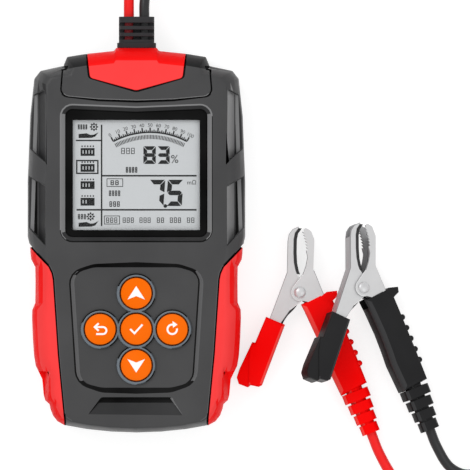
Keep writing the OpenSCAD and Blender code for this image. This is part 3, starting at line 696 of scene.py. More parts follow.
@dataclass
class Housing:
    """Two charcoal covers, two red side grips, the trim and the red cap at the cable end.

    Heights are measured from the foot, in millimetres.
    """

    finishes: Finishes
    edge: float = 0.35
    thumb: Region = Region(6.4, 14.4, 19.8)
    thumb_lip: float = 12.1
    thumb_floor: float = 25.5
    keypad: Region = Region(14.0, 70.0, 27.5)
    keypad_floor: float = 27.0
    window: Region = Region(75.0, 133.5, 31.5)
    window_floor: float = 25.0
    scallop_low: float = 72.0
    scallop_high: float = 138.5
    scallop_floor: tuple[float, float] = (19.0, 21.2)
    scallop_wall: tuple[float, float] = (35.0, 39.4)
    strip_at: Point2 = (40.1, 51.4)
    strip_lean: float = 0.031
    strip_half: float = 0.75
    trim_seam: float = 133.5
    trim_half: float = 30.0
    band_at: Point2 = (29.2, 145.4)
    band_lean: float = 0.17
    cap_half: float = 20.0
    grip_low: float = 12.0
    grip_high: float = 22.0
    lip_z: float = 16.0
    lip_t: float = 1.0
    lip_w: float = 0.8
    seam_line: tuple[Point2, ...] = (
        (28.55, 2.9), (28.65, 5.2), (31.15, 31.3), (33.15, 61.5), (33.65, 64.0), (34.85, 66.5),
        (39.85, 71.8), (42.1, 74.3))

    def strip_edge(self, side: int, way: int) -> Cut:
        """Plane along an edge of the lit strip at the foot of a scallop's wall.

        Args:
            side: -1 for the left scallops, 1 for the right ones.
            way: -1 for the strip's inner edge, 1 for its outer one.

        Returns:
            A point of the plane in metres and its normal.
        """
        x, y = self.strip_at
        return ((side * (x + way * self.strip_half) * MM, y * MM, 0.0),
                (1.0, side * self.strip_lean, 0.0))

    def cuts(self) -> list[Cut]:
        """Planes that part the front cover's faces where its shading changes."""
        strips = [self.strip_edge(side, way) for side in (-1, 1) for way in (-1, 1)]
        return strips + [((0.0, (FOOT_Y + self.thumb_lip) * MM, 0.0), (0.0, 1.0, 0.0))]

    def trim_cuts(self) -> list[Cut]:
        """Planes along the lower edge of the trim's darker end, its painted shade, one to each
        side.

        Returns:
            Of each plane, a point in metres and the normal.
        """
        x, height = self.band_at
        return [((side * x * MM, (FOOT_Y + height) * MM, 0.0), (side * self.band_lean, 1.0, 0.0))
                for side in (-1, 1)]

    @staticmethod
    def spot(face: BMFace) -> tuple[Vector, Vector, float, float]:
        """Middle in millimetres, normal, distance from the middle line and height of a face."""
        at = face.calc_center_median() / MM
        return at, face.normal, abs(at.x), at.y - FOOT_Y

    def scallop_paint(self, at: Vector, normal: Vector) -> int:
        """Slot of a face in a side scallop: a painted highlight strip, painted shade beyond it, and
        the wall painted lit on the right.

        Args:
            at: Middle of the face in millimetres.
            normal: Its normal.

        Returns:
            Its slot.
        """
        if normal.z > 0.8:
            off = abs(at.x) - self.strip_at[0] - (self.strip_at[1] - at.y) * self.strip_lean
            if off < -self.strip_half:
                return Shade.PAINTED_DEEP_SHADE
            return Shade.LIT if off < self.strip_half else Shade.PAINTED_SHADE
        lit = abs(normal.x) > abs(normal.y) * 4 and normal.x > 0 and at.x > 0
        return Shade.LIT if lit else Shade.PAINTED_SHADE

    def cover_paint(self, face: BMFace) -> int:
        """Gives a face of the front cover its slot, with painted shade in the thumb recess, the
        scallops and the window's slopes, and painted highlights on the keypad's side slopes, the
        window's sides and the scallops' strips.

        Args:
            face: The face.

        Returns:
            Its slot.
        """
        at, n, across, height = self.spot(face)
        below = at.z < FACE_Z - 0.05
        if self.thumb.holds(across, height) and below and at.z > self.thumb_floor:
            return Shade.PAINTED_DEEP_SHADE if height > self.thumb_lip or n.z < 0.7 else Shade.PAINTED_SHADE
        start, end = self.scallop_wall
        if self.scallop_low < height < self.scallop_high and across > start and below:
            low, high = self.scallop_floor
            wall = n.x * at.x > 0.6 * across and n.z > 0.2 and at.z > low - 0.2 and across < end
            flat = low < at.z < high and n.z > 0.8
            notch = abs(n.y) > 0.5 and at.z > low and n.z < 0.3
            return self.scallop_paint(at, n) if flat or notch or wall else Shade.FACE
        if (self.keypad.holds(across, height) and self.keypad_floor < at.z < FACE_Z - 0.01
                and 0.2 < n.z < 0.99):
            return Shade.PAINTED_DEEP_SHADE if abs(n.y) > abs(n.x) else Shade.PAINTED_SOFT_HIGHLIGHT
        if (self.window.holds(across, height) and at.z > self.window_floor and below
                and 0.1 < n.z < 0.99):
            return Shade.PAINTED_SHADE if abs(n.y) > abs(n.x) * 0.3 else Shade.LIT
        return Shade.FACE

    def cover_edge(self, face: BMFace) -> int:
        """Gives a face of the front cover's rounded edges its slot: a painted highlight where the
        edge faces the light, and painted shade where it falls into a recess or a seam.

        Args:
            face: The face.

        Returns:
            Its slot.
        """
        at, n, across, height = self.spot(face)
        outer = at.z > FACE_Z - 0.4
        if self.keypad.holds(across, height):
            dark = outer == (at.x < 0) or abs(n.y) > abs(n.x)
            return Shade.PAINTED_DEEP_SHADE if dark else Shade.PAINTED_SOFT_HIGHLIGHT
        if self.window.holds(across, height):
            return Shade.LIT if outer and (n.y < 0 or abs(n.x) > 0.3) else Shade.PAINTED_DEEP_SHADE
        if self.thumb.holds(across, height, 1.0):
            return Shade.LIT if n.x < -0.2 and at.x > 0 else Shade.PAINTED_DEEP_SHADE
        if height > self.trim_seam and across < self.trim_half:
            return Shade.PAINTED_DEEP_SHADE
        if height > self.scallop_low or n.x * at.x < 0.2 * across or at.z < FACE_Z - 4.0:
            return Shade.FACE
        return Shade.PAINTED_SOFT_HIGHLIGHT if n.z > 0.85 else Shade.PAINTED_DEEP_SHADE

    def grip_paint(self, face: BMFace) -> int:
        """Gives a grip's face and shoulder one slot, the lighter red of a painted highlight, and
        what slopes down beside them another, the plain red.

        Args:
            face: The face.

        Returns:
            Its slot.
        """
        at, n, _, _ = self.spot(face)
        shoulder = n.z > 0.64 and at.z > self.grip_high
        return Grip.FACE if at.z < self.grip_low or shoulder else Grip.SIDE

    def trim_paint(self, face: BMFace) -> int:
        """Gives the trim's sloped end its darker slot, painted shade.

        Args:
            face: The face.

        Returns:
            Its slot.
        """
        _, n, across, height = self.spot(face)
        x, start = self.band_at
        band = n.z < 0.97 and height > start + (x - across) * self.band_lean
        return Trim.BAND_PAINTED_SHADE if band else Trim.FACE

    def cap_paint(self, face: BMFace) -> int:
        """Gives the cap's sloped end the plain red slot and its flat top the lighter red of the
        painted highlight.
        """
        return Grip.SIDE if face.normal.z < 0.97 else Grip.FACE

    def trim_edge(self, face: BMFace) -> int:
        """Gives the trim's rounded edges their slots: near-black painted shade round the cap, a
        painted highlight at the lower seam.

        Args:
            face: The face.

        Returns:
            Its slot.
        """
        _, _, across, height = self.spot(face)
        if height < self.trim_seam + 2.0:
            return Trim.SEAM_PAINTED_HIGHLIGHT
        return Trim.PAINTED_DEEP_SHADE if across < self.cap_half else self.trim_paint(face)

    def build(self) -> list[Object]:
        """Builds the covers, grips, trim and cap.

        Returns:
            The pieces.
        """
        dark = self.finishes.some("charcoal_moulding", "charcoal_painted_shade", "charcoal_painted_highlight",
                                  "charcoal_painted_deep_shade", "charcoal_painted_soft_highlight")
        trim = self.finishes.some("charcoal_trim", "charcoal_painted_highlight", "charcoal_trim_painted_shade",
                                  "charcoal_painted_deep_shade")
        red = self.finishes.some("red_grip_painted_highlight", "red_grip_side")
        return [
            recast("front_cover", "front_cover_moulding", "root", "dark_shell", dark, self.edge, 24,
                   Shade.LIT, self.cover_paint, self.cuts(), self.cover_edge),
            recast("rear_cover", "rear_cover_moulding", "root", "dark_shell", dark, 0.3, 34),
            recast("grip_left", "left_grip_moulding", "root", "red_grip", red, 0.25, 40, -1,
                   self.grip_paint),
            recast("grip_right", "right_grip_moulding", "root", "red_grip", red, 0.25, 40, -1,
                   self.grip_paint),
            recast("top_trim", "trim_moulding", "root", "dark_trim", trim, 0.3, 30, Trim.SEAM_PAINTED_HIGHLIGHT,
                   self.trim_paint, self.trim_cuts(), self.trim_edge),
            recast("cable_cap", "cap_moulding", "root", "red_cap", red, 0.25, 50, Grip.SIDE,
                   self.cap_paint),
            self.seam_lining("right", 1),
            self.seam_lining("left", -1),
        ]

    def seam_lining(self, name: str, side: int) -> Object:
        """Builds the dark lip that closes the seam between the covers and a grip; its near-black
        finish is painted shade in the seam.

        Args:
            name: Left or right.
            side: -1 for the left seam, 1 for the right one.

        Returns:
            The lip.
        """
        lip = Printer(lambda x, y: self.lip_z, self.lip_t)
        lip.stroke([(side * x, FOOT_Y + y) for x, y in self.seam_line[::-side]], self.lip_w)
        return lip.finish(f"{name}_seam_lip", self.finishes["charcoal_painted_deep_shade"], "root")

    def dress_inside(self) -> None:
        """Dresses the board, its parts and the screws."""
        for node, name in (("main_board", "green_mask"), ("board_parts", "moulded_epoxy"),
                           ("load_resistors", "white_ceramic"), ("board_screws", "screw_zinc"),
                           ("cover_screws", "screw_zinc"), ("key_switches", "tinned_copper"),
                           ("backlight", "white_diffuser")):
            dress(node, self.finishes[name])


SEGMENTS = {"0": "abcdef", "1": "bc", "2": "abged", "3": "abgcd", "4": "fgbc", "5": "afgcd",
            "6": "afgedc", "7": "abc", "8": "abcdefg", "9": "abcdfg"}


def polar(centre: Point2, radius: float, angle: float) -> Point2:
    """Point at a radius and an angle in degrees from a centre."""
    turn = math.radians(angle)
    return centre[0] + radius * math.cos(turn), centre[1] + radius * math.sin(turn)


class Printer:
    """Collects flat printed shapes on one plane and makes them thin slabs."""

    def __init__(self, lift: Callable[[float, float], float], thick: float = 0.03) -> None:
        """Starts an empty print.

        Args:
            lift: Height of the print's upper face at a place, in millimetres.
            thick: Thickness in millimetres.
        """
        self.bm = bmesh.new()
        self.lift = lift
        self.thick = thick

    def shape(self, points: Iterable[Point2]) -> None:
        """Adds a filled outline, given counter-clockwise in millimetres."""
        verts = [self.bm.verts.new((x * MM, y * MM, self.lift(x, y) * MM)) for x, y in points]
        self.bm.faces.new(verts)

    def box(self, x0: float, x1: float, y0: float, y1: float) -> None:
        """Adds a filled rectangle."""
        self.shape([(x0, y0), (x1, y0), (x1, y1), (x0, y1)])

    def frame(self, x0: float, x1: float, y0: float, y1: float, line: float) -> None:
        """Adds the outline of a rectangle.

        Args:
            x0: Left edge.
            x1: Right edge.
            y0: Lower edge.
            y1: Upper edge.
            line: Width of the line.
        """
        self.box(x0, x1, y0, y0 + line)
        self.box(x0, x1, y1 - line, y1)
        self.box(x0, x0 + line, y0 + line, y1 - line)
        self.box(x1 - line, x1, y0 + line, y1 - line)

    def band(self, centre: Point2, inner: float, outer: float, start: float, end: float,
             steps: int) -> None:
        """Adds part of a ring between two angles in degrees.

        Args:
            centre: Centre of the ring.
            inner: Inner radius.
            outer: Outer radius.
            start: First angle.
            end: Last angle.
            steps: Straight parts of the ring.
        """
        for i in range(steps):
            a, b = (start + (end - start) * k / steps for k in (i, i + 1))
            self.shape([polar(centre, r, t)
                        for r, t in ((inner, a), (outer, a), (outer, b), (inner, b))])

    def stroke(self, points: Sequence[Point2], width: float) -> None:
        """Adds a line of straight parts of one width, with mitred corners.

        Args:
            points: Corners of the line.
            width: Width of the line.
        """
        rows = []
        for i, p in enumerate(points):
            a, b = points[max(0, i - 1)], points[min(len(points) - 1, i + 1)]
            u = Vector((p[0] - a[0], p[1] - a[1])) if i else Vector((b[0] - p[0], b[1] - p[1]))
            w = Vector((b[0] - p[0], b[1] - p[1])) if i < len(points) - 1 else u.copy()
            u.normalize(), w.normalize()
            side = Vector((-u.y, u.x)) + Vector((-w.y, w.x))
            side *= width / max(side.length_squared, 0.4)
            rows.append(((p[0] - side.x, p[1] - side.y), (p[0] + side.x, p[1] + side.y)))
        for first, second in zip(rows, rows[1:]):
            self.shape([first[0], second[0], second[1], first[1]])

    def figure(self, digit: str, x: float, y: float, width: float, height: float, line: float,
               lean: float = 0.0) -> None:
        """Adds a seven-segment figure.

        Args:
            digit: The figure.
            x: Left edge.
            y: Lower edge.
            width: Width without the lean.
            height: Height.
            line: Width of a segment.
            lean: Shift of the top to the right, per height.
        """
        gap, half, cut = line * 0.14, height / 2, line / 2
        low = [(0, gap), (line, line + gap), (line, half - cut - gap), (0, half - gap)]
        high = [(0, half + gap), (line, half + cut + gap), (line, height - line - gap),
                (0, height - gap)]
        segments = {
            "a": [(line, height - line), (width - line, height - line), (width - gap, height),
                  (gap, height)],
            "d": [(gap, 0), (width - gap, 0), (width - line, line), (line, line)],
            "g": [(gap, half), (cut + gap, half - cut), (width - cut - gap, half - cut),
                  (width - gap, half), (width - cut - gap, half + cut), (cut + gap, half + cut)],
            "e": low,
            "f": high,
        }
        for name, twin in (("c", low), ("b", high)):
            segments[name] = [(width - twin[i][0], twin[i][1]) for i in (1, 0, 3, 2)]
        for name in SEGMENTS[digit]:
            self.shape([(x + px + py * lean, y + py) for px, py in segments[name]])

    def text(self, words: str, x: float, y: float, height: float, turn: float = 0.0) -> None:
        """Adds figures or a unit sign in the plain built-in face, centred at a place.

        Args:
            words: Figures or a sign.
            x: Middle of the text.
            y: Middle of the text.
            height: Height of a figure.
            turn: Turn in degrees.
        """
        curve = bpy.data.curves.new("figures", "FONT")
        curve.body = words
        curve.size = height * 1.4 * MM
        curve.align_x = "CENTER"
        curve.align_y = "CENTER"
        curve.resolution_u = 3
        holder = bpy.data.objects.new("figures", curve)
        mesh = bpy.data.meshes.new_from_object(holder)
        mesh.transform(Matrix.Translation((x * MM, y * MM, self.lift(x, y) * MM))
                       @ Matrix.Rotation(math.radians(turn), 4, "Z"))
        self.bm.from_mesh(mesh)
        bpy.data.objects.remove(holder)
        bpy.data.curves.remove(curve)
        bpy.data.meshes.remove(mesh)

    def finish(self, name: str, material: Material, body: str,
               steps: int = 0) -> Object:
        """Gives the shapes their thickness and makes them one piece.

        Args:
            name: Name of the piece.
            material: Its finish.
            body: Body that it rides on.
            steps: Cuts per edge, so that a print can follow a dome.

        Returns:
            The piece.
        """
        bm = self.bm
        if steps:
            bmesh.ops.triangulate(bm, faces=bm.faces[:])
            bmesh.ops.subdivide_edges(bm, edges=bm.edges[:], cuts=steps, use_grid_fill=True)
            for vert in bm.verts:
                vert.co.z = self.lift(vert.co.x / MM, vert.co.y / MM) * MM
        for face in bm.faces:
            face.normal_update()
            if face.normal.z < 0:
                face.normal_flip()
        made = bmesh.ops.extrude_face_region(bm, geom=bm.faces[:], use_keep_orig=True)
        top = [g for g in made["geom"] if isinstance(g, BMVert)]
        bmesh.ops.translate(bm, verts=top, vec=(0, 0, self.thick * MM))
        bmesh.ops.recalc_face_normals(bm, faces=bm.faces[:])
        piece = piece_from(name, bm, (material,), 40.0, False)
        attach(piece, body)
        return piece


@dataclass
class Display:
    """Framed window with a clear lens over a reflective liquid crystal panel."""

    finishes: Finishes
    glass_top: float = 24.7
    scale: float = 2.5
    zero: Point2 = (136.2, 224.5)

    def at(self, px: float, py: float) -> Point2:
        """Place on the panel, from columns and rows of its layout."""
        return (px - self.zero[0]) / self.scale, (self.zero[1] - py) / self.scale

    def build(self) -> list[Object]:
        """Builds the bezel and the printed segments, and dresses the lens and the glass.

        Returns:
            The bezel and the segments.
        """
        f = self.finishes
        dress("display_lens", f["clear_lens"])
        dress("display_glass", f["liquid_crystal_ground"])
        bezel = recast("display_bezel", "bezel_frame", "root", "black_gloss", f.some("gloss_black"),
                       0.12, 30)
        return [bezel, self.segments()]

    def segments(self) -> Object:
        """Builds everything that the liquid crystal shows.

        Returns:
            The piece.
        """
        name = "liquid_crystal_segments"
        ink = Printer(lambda x, y: self.glass_top + 0.01, 0.02)
        for draw in (self.rules, self.gauge, self.readings, self.menu):
            draw(ink)
        return ink.finish(name, self.finishes[name], "root")

    def span(self, x0: float, y0: float, x1: float, y1: float) -> tuple[float, ...]:
        """Edges of a rectangle in millimetres, from its first and last columns and rows."""
        (left, top), (right, low) = self.at(x0, y0), self.at(x1, y1)
        return left, right, low, top

    def rules(self, ink: Printer) -> None:
        """Adds the thin lines that divide the panel.

        Args:
            ink: The print.
        """
        for x0, y0, x1, y1 in ((100.7, 124.6, 102.2, 226.0), (75.7, 139.7, 101.2, 141.1),
                               (102.0, 174.9, 196.5, 176.5), (102.0, 209.0, 196.5, 210.6),
                               (76.4, 209.0, 101.2, 210.6)):
            ink.box(*self.span(x0, y0, x1, y1))

    def gauge(self, ink: Printer) -> None:
        """Adds the curved scale from 0 to 100 with its bars.

        Args:
            ink: The print.
        """
        left, top, right = self.at(113.3, 141.4), self.at(150.0, 132.2), self.at(186.9, 141.4)
        half, rise = (right[0] - left[0]) / 2, top[1] - left[1]
        radius = (half * half + rise * rise) / (2 * rise)
        centre = (top[0], top[1] - radius)
        reach = math.degrees(math.asin(half / radius))

        def ray(share: float, low: float, high: float) -> list[Point2]:
            """Two points of a line across the scale at a share of its length."""
            angle = 90 + reach - 2 * reach * share
            return [polar(centre, radius + r, angle) for r in (low, high)]

        ink.band(centre, radius - 0.3, radius + 0.3, 90 - reach, 90 + reach, 40)
        for i in range(11):
            ink.stroke(ray(i / 10, 0.15, 1.9), 0.58)
            x, y = ray(i / 10, 2.8, 3.0)[0]
            ink.text(str(i * 10), x, y, 1.45, reach * (1 - i / 5))
        for i in range(40):
            if i % 4:
                ink.stroke(ray(i / 40, 0.15, 1.1 if i % 4 == 2 else 0.8), 0.44)
        count = 48
        for i in range(count):
            start = 90 + reach - 2 * reach * i / count
            end = start - 2 * reach / count * 0.52
            ink.band(centre, radius - 2.7, radius - 1.05, end, start, 1)

    def glyphs(self, ink: Printer, x0: float, x1: float, y0: float, y1: float, count: int,
               line: float = 0.3) -> None:
        """Adds a group of small lit figures in place of words.

        Args:
            ink: The print.
            x0: First column.
            x1: Last column.
            y0: Upper row.
            y1: Lower row.
            count: How many figures.
            line: Width of a segment in millimetres.
        """
        left, right, low, high = self.span(x0, y0, x1, y1)
        pitch = (right - left) / count
        for i in range(count):
            ink.figure("8", left + i * pitch, low, pitch * 0.72, high - low, line)

    def readings(self, ink: Printer) -> None:
        """Adds the two large readings, their units and the groups of small figures beside them.

        Args:
            ink: The print.
        """
        for digit, px in (("8", 143.3), ("3", 157.2)):
            x, y = self.at(px, 163.9)
            ink.figure(digit, x, y, 4.95, 7.1, 1.5)
        ink.text("%", *self.at(174.6, 159.4), 3.3)
        for digit, px in (("7", 147.6), ("5", 165.9)):
            x, y = self.at(px, 206.0)
            ink.figure(digit, x, y, 6.3, 10.5, 1.85, 0.07)
        ink.band(self.at(165.2, 206.0), 0.0001, 0.75, 0, 360, 12)
        ink.text("mΩ", *self.at(191.6, 182.6), 1.75)
        ink.frame(*self.span(106.5, 178.4, 122.9, 186.8), 0.26)
        for group in ((121.1, 135.9, 147.8, 153.9, 3, 0.26), (125.7, 138.0, 166.9, 172.7, 4, 0.36),
                      (110.4, 119.8, 180.3, 185.1, 2, 0.34), (108.8, 120.9, 190.4, 196.0, 4, 0.34),
                      (109.3, 120.6, 201.3, 206.8, 3, 0.34)):
            self.glyphs(ink, *group)

    def cell(self, ink: Printer, py: float, level: int) -> None:
        """Adds a battery sign whose body starts at a row, with its charge in open bars.

        Args:
            ink: The print.
            py: Upper row of the body.
            level: How many of its five bars are open.
        """
        x0, x1, y1 = 80.4, 94.4, py + 7.8
        ink.box(*self.span(x0, py, x1, py + 2.2))
        ink.box(*self.span(x0, y1 - 2.2, x1, y1))
        for i in range(5):
            ink.box(*self.span(x0 + 0.9 + i * 2.8, py - 2.6, x0 + 2.2 + i * 2.8, py - 1.1))
            lit = 1.3 if i < level else 2.8
            ink.box(*self.span(x0 + i * 3.0, py + 2.2, min(x1, x0 + i * 3.0 + lit + 0.7), y1 - 2.2))

    def wheel(self, ink: Printer, px: float, py: float) -> None:
        """Adds a small cog wheel sign, centred at a column and row.

        Args:
            ink: The print.
            px: Column of the middle.
            py: Row of the middle.
        """
        centre = self.at(px, py)
        ink.band(centre, 0.0001, 0.5, 0, 360, 10)
        ink.band(centre, 0.85, 1.2, 0, 360, 20)
        for i in range(8):
            ink.stroke([polar(centre, r, 45 * i) for r in (1.15, 1.65)], 0.55)

    def hand(self, ink: Printer, py: float) -> None:
        """Adds an open hand sign under a cog wheel, from its upper row.

        Args:
            ink: The print.
            py: Upper row of the hand.
        """
        outline = ((78.4, 1.8), (86.5, 1.0), (90.0, 2.6), (93.5, 2.4), (98.4, 0.0), (95.0, 4.4),
                   (91.0, 5.6), (78.4, 5.8))
        ink.shape([self.at(px, py + down) for px, down in reversed(outline)])

    def menu(self, ink: Printer) -> None:
        """Adds the column of signs on the left and the row along the bottom.

        Args:
            ink: The print.
        """
        for py, level in ((148.0, 4), (164.0, 4), (181.2, 3), (197.8, 2)):
            self.cell(ink, py, level)
        ink.frame(*self.span(75.9, 159.8, 98.4, 174.0), 0.56)
        for px, py, x1, y0, y1, count, hand in ((93.8, 126.8, 87.8, 124.3, 129.4, 4, 132.2),
                                                (90.4, 216.5, 86.6, 214.0, 219.3, 3, 221.0)):
            self.wheel(ink, px, py)
            self.glyphs(ink, 77.7, x1, y0, y1, count, 0.34)
            self.hand(ink, hand)
        ink.frame(*self.span(103.9, 215.6, 119.7, 224.4), 0.26)
        for x0, x1, count in ((106.0, 118.2, 3), (122.6, 134.8, 3), (139.4, 151.6, 3),
                              (156.8, 165.0, 2), (169.8, 182.0, 3), (186.9, 195.4, 2)):
            self.glyphs(ink, x0, x1, 217.5, 222.8, count, 0.26)


@dataclass
class Keypad:
    """Slate surround with five domed orange keys and their printed signs."""

    finishes: Finishes
    pitch: float = 14.4
    middle_y: float = -41.9
    rim_z: float = 29.4
    dome: float = 1.0
    rim_slope: float = 0.72
    print_radius: float = 5.65
    ring_middle: float = 7.1
    shadows: tuple[Point2, ...] = ((40.0, 160.0), (-60.0, -15.0))
    line: float = 0.75
    places: dict[Legend, Point2] = field(default_factory=lambda: {
        Legend.UP: (0, 1), Legend.DOWN: (0, -1), Legend.BACK: (-1, 0),
        Legend.ACCEPT: (0, 0), Legend.RENEW: (1, 0)})

    def ring_paint(self, face: BMFace) -> int:
        """Gives the surround's faces their slots: pale ring tops, their outer slopes with a painted
        highlight to the left, slate painted shade to the right and near-black painted shadow in two
        arcs.

        Args:
            face: The face.

        Returns:
            Its slot.
        """
        at = face.calc_center_median() / MM
        x, y = min(((at.x - px * self.pitch, at.y - self.middle_y - py * self.pitch)
                    for px, py in self.places.values()), key=lambda away: math.hypot(*away))
        if math.hypot(x, y) < self.ring_middle or face.normal.z > 0.95:
            return Ring.PALE
        angle = math.degrees(math.atan2(y, x))
        if any(low < angle < high for low, high in self.shadows):
            return Ring.SHADOW
        return Ring.SLATE if -90.0 < angle < 90.0 else Ring.PALE

    def key_paint(self, face: BMFace) -> int:
        """Gives a key's domed top one slot, and the steep rim round it another, the dark brown of
        painted shade.
        """
        return Key.TOP if face.normal.z > self.rim_slope else Key.RIM_PAINTED_SHADE

    def build(self) -> list[Object]:
        """Builds the surround, the keys and the signs.

        Returns:
            The pieces.
        """
        f = self.finishes
        made = [recast("key_surround", "key_surround_moulding", "root", "key_surround",
                       f.some("surround_pale_and_painted_highlight", "surround_slate", "charcoal_painted_deep_shade"), 0.3, 30,
                       Ring.SLATE, self.ring_paint, edge_paint=self.ring_paint)]
        for legend, (px, py) in self.places.items():
            node = legend.value
            made.append(recast(node, f"{node}_cap", node, "orange_key",
                               f.some("orange_key", "orange_key_painted_shade"), 0.0, 40,
                               paint=self.key_paint))
            made.append(self.sign(legend, px * self.pitch, self.middle_y + py * self.pitch))
        return made

    def sign(self, legend: Legend, x: float, y: float) -> Object:
        """Prints one sign on the dome of its key.

        Args:
            legend: Which sign.
            x: Middle of the key.
            y: Middle of the key.

        Returns:
            The sign.
        """
        ball = (self.print_radius**2 + self.dome**2) / 2 / self.dome

        def lift(px: float, py: float) -> float:
            """Height of the dome at a place."""
            away = min((px - x) ** 2 + (py - y) ** 2, self.print_radius**2)
            return self.rim_z + self.dome - ball + math.sqrt(ball * ball - away) - 0.02

        ink = Printer(lift, 0.06)
        if legend in (Legend.UP, Legend.DOWN):
            self.arrow(ink, x, y, 1.0 if legend is Legend.UP else -1.0)
        else:
            draw = {Legend.BACK: self.back, Legend.ACCEPT: self.tick, Legend.RENEW: self.renew}
            draw[legend](ink, x, y)
        return ink.finish(f"{legend.value}_sign", self.finishes["white_print"], legend.value,
                          2)

    def arrow(self, ink: Printer, x: float, y: float, way: float) -> None:
        """Draws an arrow head that points up, or down where way is -1."""
        ink.shape([(x, y + 2.9 * way), (x - 3.5 * way, y - 2.5 * way), (x, y - 1.1 * way)])
        ink.shape([(x, y + 2.9 * way), (x, y - 1.1 * way), (x + 3.5 * way, y - 2.5 * way)])

    def back(self, ink: Printer, x: float, y: float) -> None:
        """Draws an arrow that turns back to the left.

        Args:
            ink: The print.
            x: Middle of the key.
            y: Middle of the key.
        """
        ink.stroke([(x - 0.6, y + 2.4), (x - 2.2, y + 0.9), (x - 0.6, y - 0.6)], self.line)
        ink.stroke([(x - 1.9, y + 0.9), (x + 1.1, y + 0.9)], self.line)
        ink.band((x + 1.1, y - 0.5), 1.4 - self.line / 2, 1.4 + self.line / 2, -90, 90, 12)
        ink.stroke([(x + 1.1, y - 1.9), (x - 1.6, y - 1.9)], self.line)

    def tick(self, ink: Printer, x: float, y: float) -> None:
        """Draws a tick."""
        ink.stroke([(x - 2.4, y + 0.1), (x - 0.7, y - 1.6), (x + 2.5, y + 1.9)], self.line)

    def renew(self, ink: Printer, x: float, y: float) -> None:
        """Draws an arrow that goes round."""
        ink.band((x, y), 1.9 - self.line / 2, 1.9 + self.line / 2, 70, 370, 26)
        ink.shape([(x + 0.3, y + 0.6), (x + 2.1, y + 1.9), (x + 0.1, y + 3.3)])


def between(a: Vector, b: Vector, low: float, high: float, t: float) -> Vector:
    """Point at t on the straight line from a, at low, to b, at high."""
    return a * ((high - t) / (high - low)) + b * ((t - low) / (high - low))


def curved(points: Sequence[Point3], steps: int) -> list[Vector]:
    """Runs one smooth line through points.

    Args:
        points: Points in millimetres.
        steps: Parts between each two points.

    Returns:
        Points of the line in metres.
    """
    route = [Vector(p) * MM for p in points]
    route = [route[0] * 2 - route[1], *route, route[-1] * 2 - route[-2]]
    line = []
    for i in range(len(route) - 3):
        near = route[i : i + 4]
        knots = [0.0]
        for a, b in zip(near, near[1:]):
            knots.append(knots[-1] + math.sqrt((b - a).length))
        t0, t1, t2, t3 = knots
        for k in range(steps):
            t = t1 + (t2 - t1) * k / steps
            first, middle, last = (between(a, b, u, v, t)
                                   for a, b, u, v in zip(near, near[1:], knots, knots[1:]))
            line.append(between(between(first, middle, t0, t2, t), between(middle, last, t1, t3, t),
                                t1, t2, t))
    return line + [route[-2]]


def wire(name: str, line: Sequence[Vector], radius: float, material: Material,
         sides: int = 4) -> Object:
    """Makes a round curve of one open spline.

    Args:
        name: Name of the piece.
        line: Points in metres.
        radius: Radius in metres.
        material: Its finish.
        sides: Fineness of the section.

    Returns:
        The curve object.
    """
    curve = bpy.data.curves.new(name, "CURVE")
    curve.dimensions = "3D"
    curve.bevel_depth = radius
    curve.bevel_resolution = sides
    curve.use_fill_caps = True
    spline = curve.splines.new("POLY")
    spline.points.add(len(line) - 1)
    for point, place in zip(spline.points, line):
        point.co = (*place, 1.0)
    spline.use_smooth = True
    curve.materials.append(material)
    return placed(name, curve)


RED_ROUTE: tuple[Point3, ...] = (
    (-3.1, 83.4, 13), (-3.1, 89.4, 13), (-2.8, 96.6, 11.9), (-0.8, 104, 8.6), (4.2, 110.4, 5),
    (12, 114.6, 2.8), (22, 116.5, 2.1), (50, 117, 2.1), (80, 117, 2.1), (110, 117, 2.1),
    (132, 116.5, 2.1), (142, 114, 2.1), (150.5, 108.5, 2.1), (156, 100, 2.1), (158, 90, 2.1),
    (158.5, 60, 2.1), (158.5, 30, 2.1), (158.5, 0, 2.1), (158.5, -30, 2.1), (158.5, -60, 2.1),
    (158, -84, 2.1), (156, -94, 2.1), (151, -103, 2.1), (142.5, -109.5, 2.1), (132, -112.5, 2.1),
    (121.5, -112.5, 2.3), (112, -109.5, 2.8), (104.2, -103, 3.8), (97.64, -92.16, 4.62),
    (94.3, -83.8, 4.8),
)
BLACK_ROUTE: tuple[Point3, ...] = (
    (3.1, 83.4, 13), (3.1, 88.4, 13), (3.9, 94.4, 11.8), (6.8, 100.4, 8.6), (12.2, 105.2, 5),
    (20, 108.6, 2.8), (30, 110, 2.1), (55, 110.4, 2.1), (80, 110.4, 2.1), (105, 110.4, 2.1),
    (128, 110, 2.1), (138, 107.6, 2.1), (146, 101.5, 2.1), (150.6, 92.5, 2.1), (151.6, 82, 2.1),
    (151.8, 55, 2.1), (151.8, 25, 2.1), (151.8, -5, 2.1), (151.8, -35, 2.1), (151.6, -65, 2.1),
    (150.8, -80, 2.2), (147.6, -90.5, 2.4), (141, -98, 2.9), (133, -100.6, 3.7), (126, -97.6, 4.9),
    (120.5, -89.0, 6.45), (117.9, -82.5, 6.8),
)


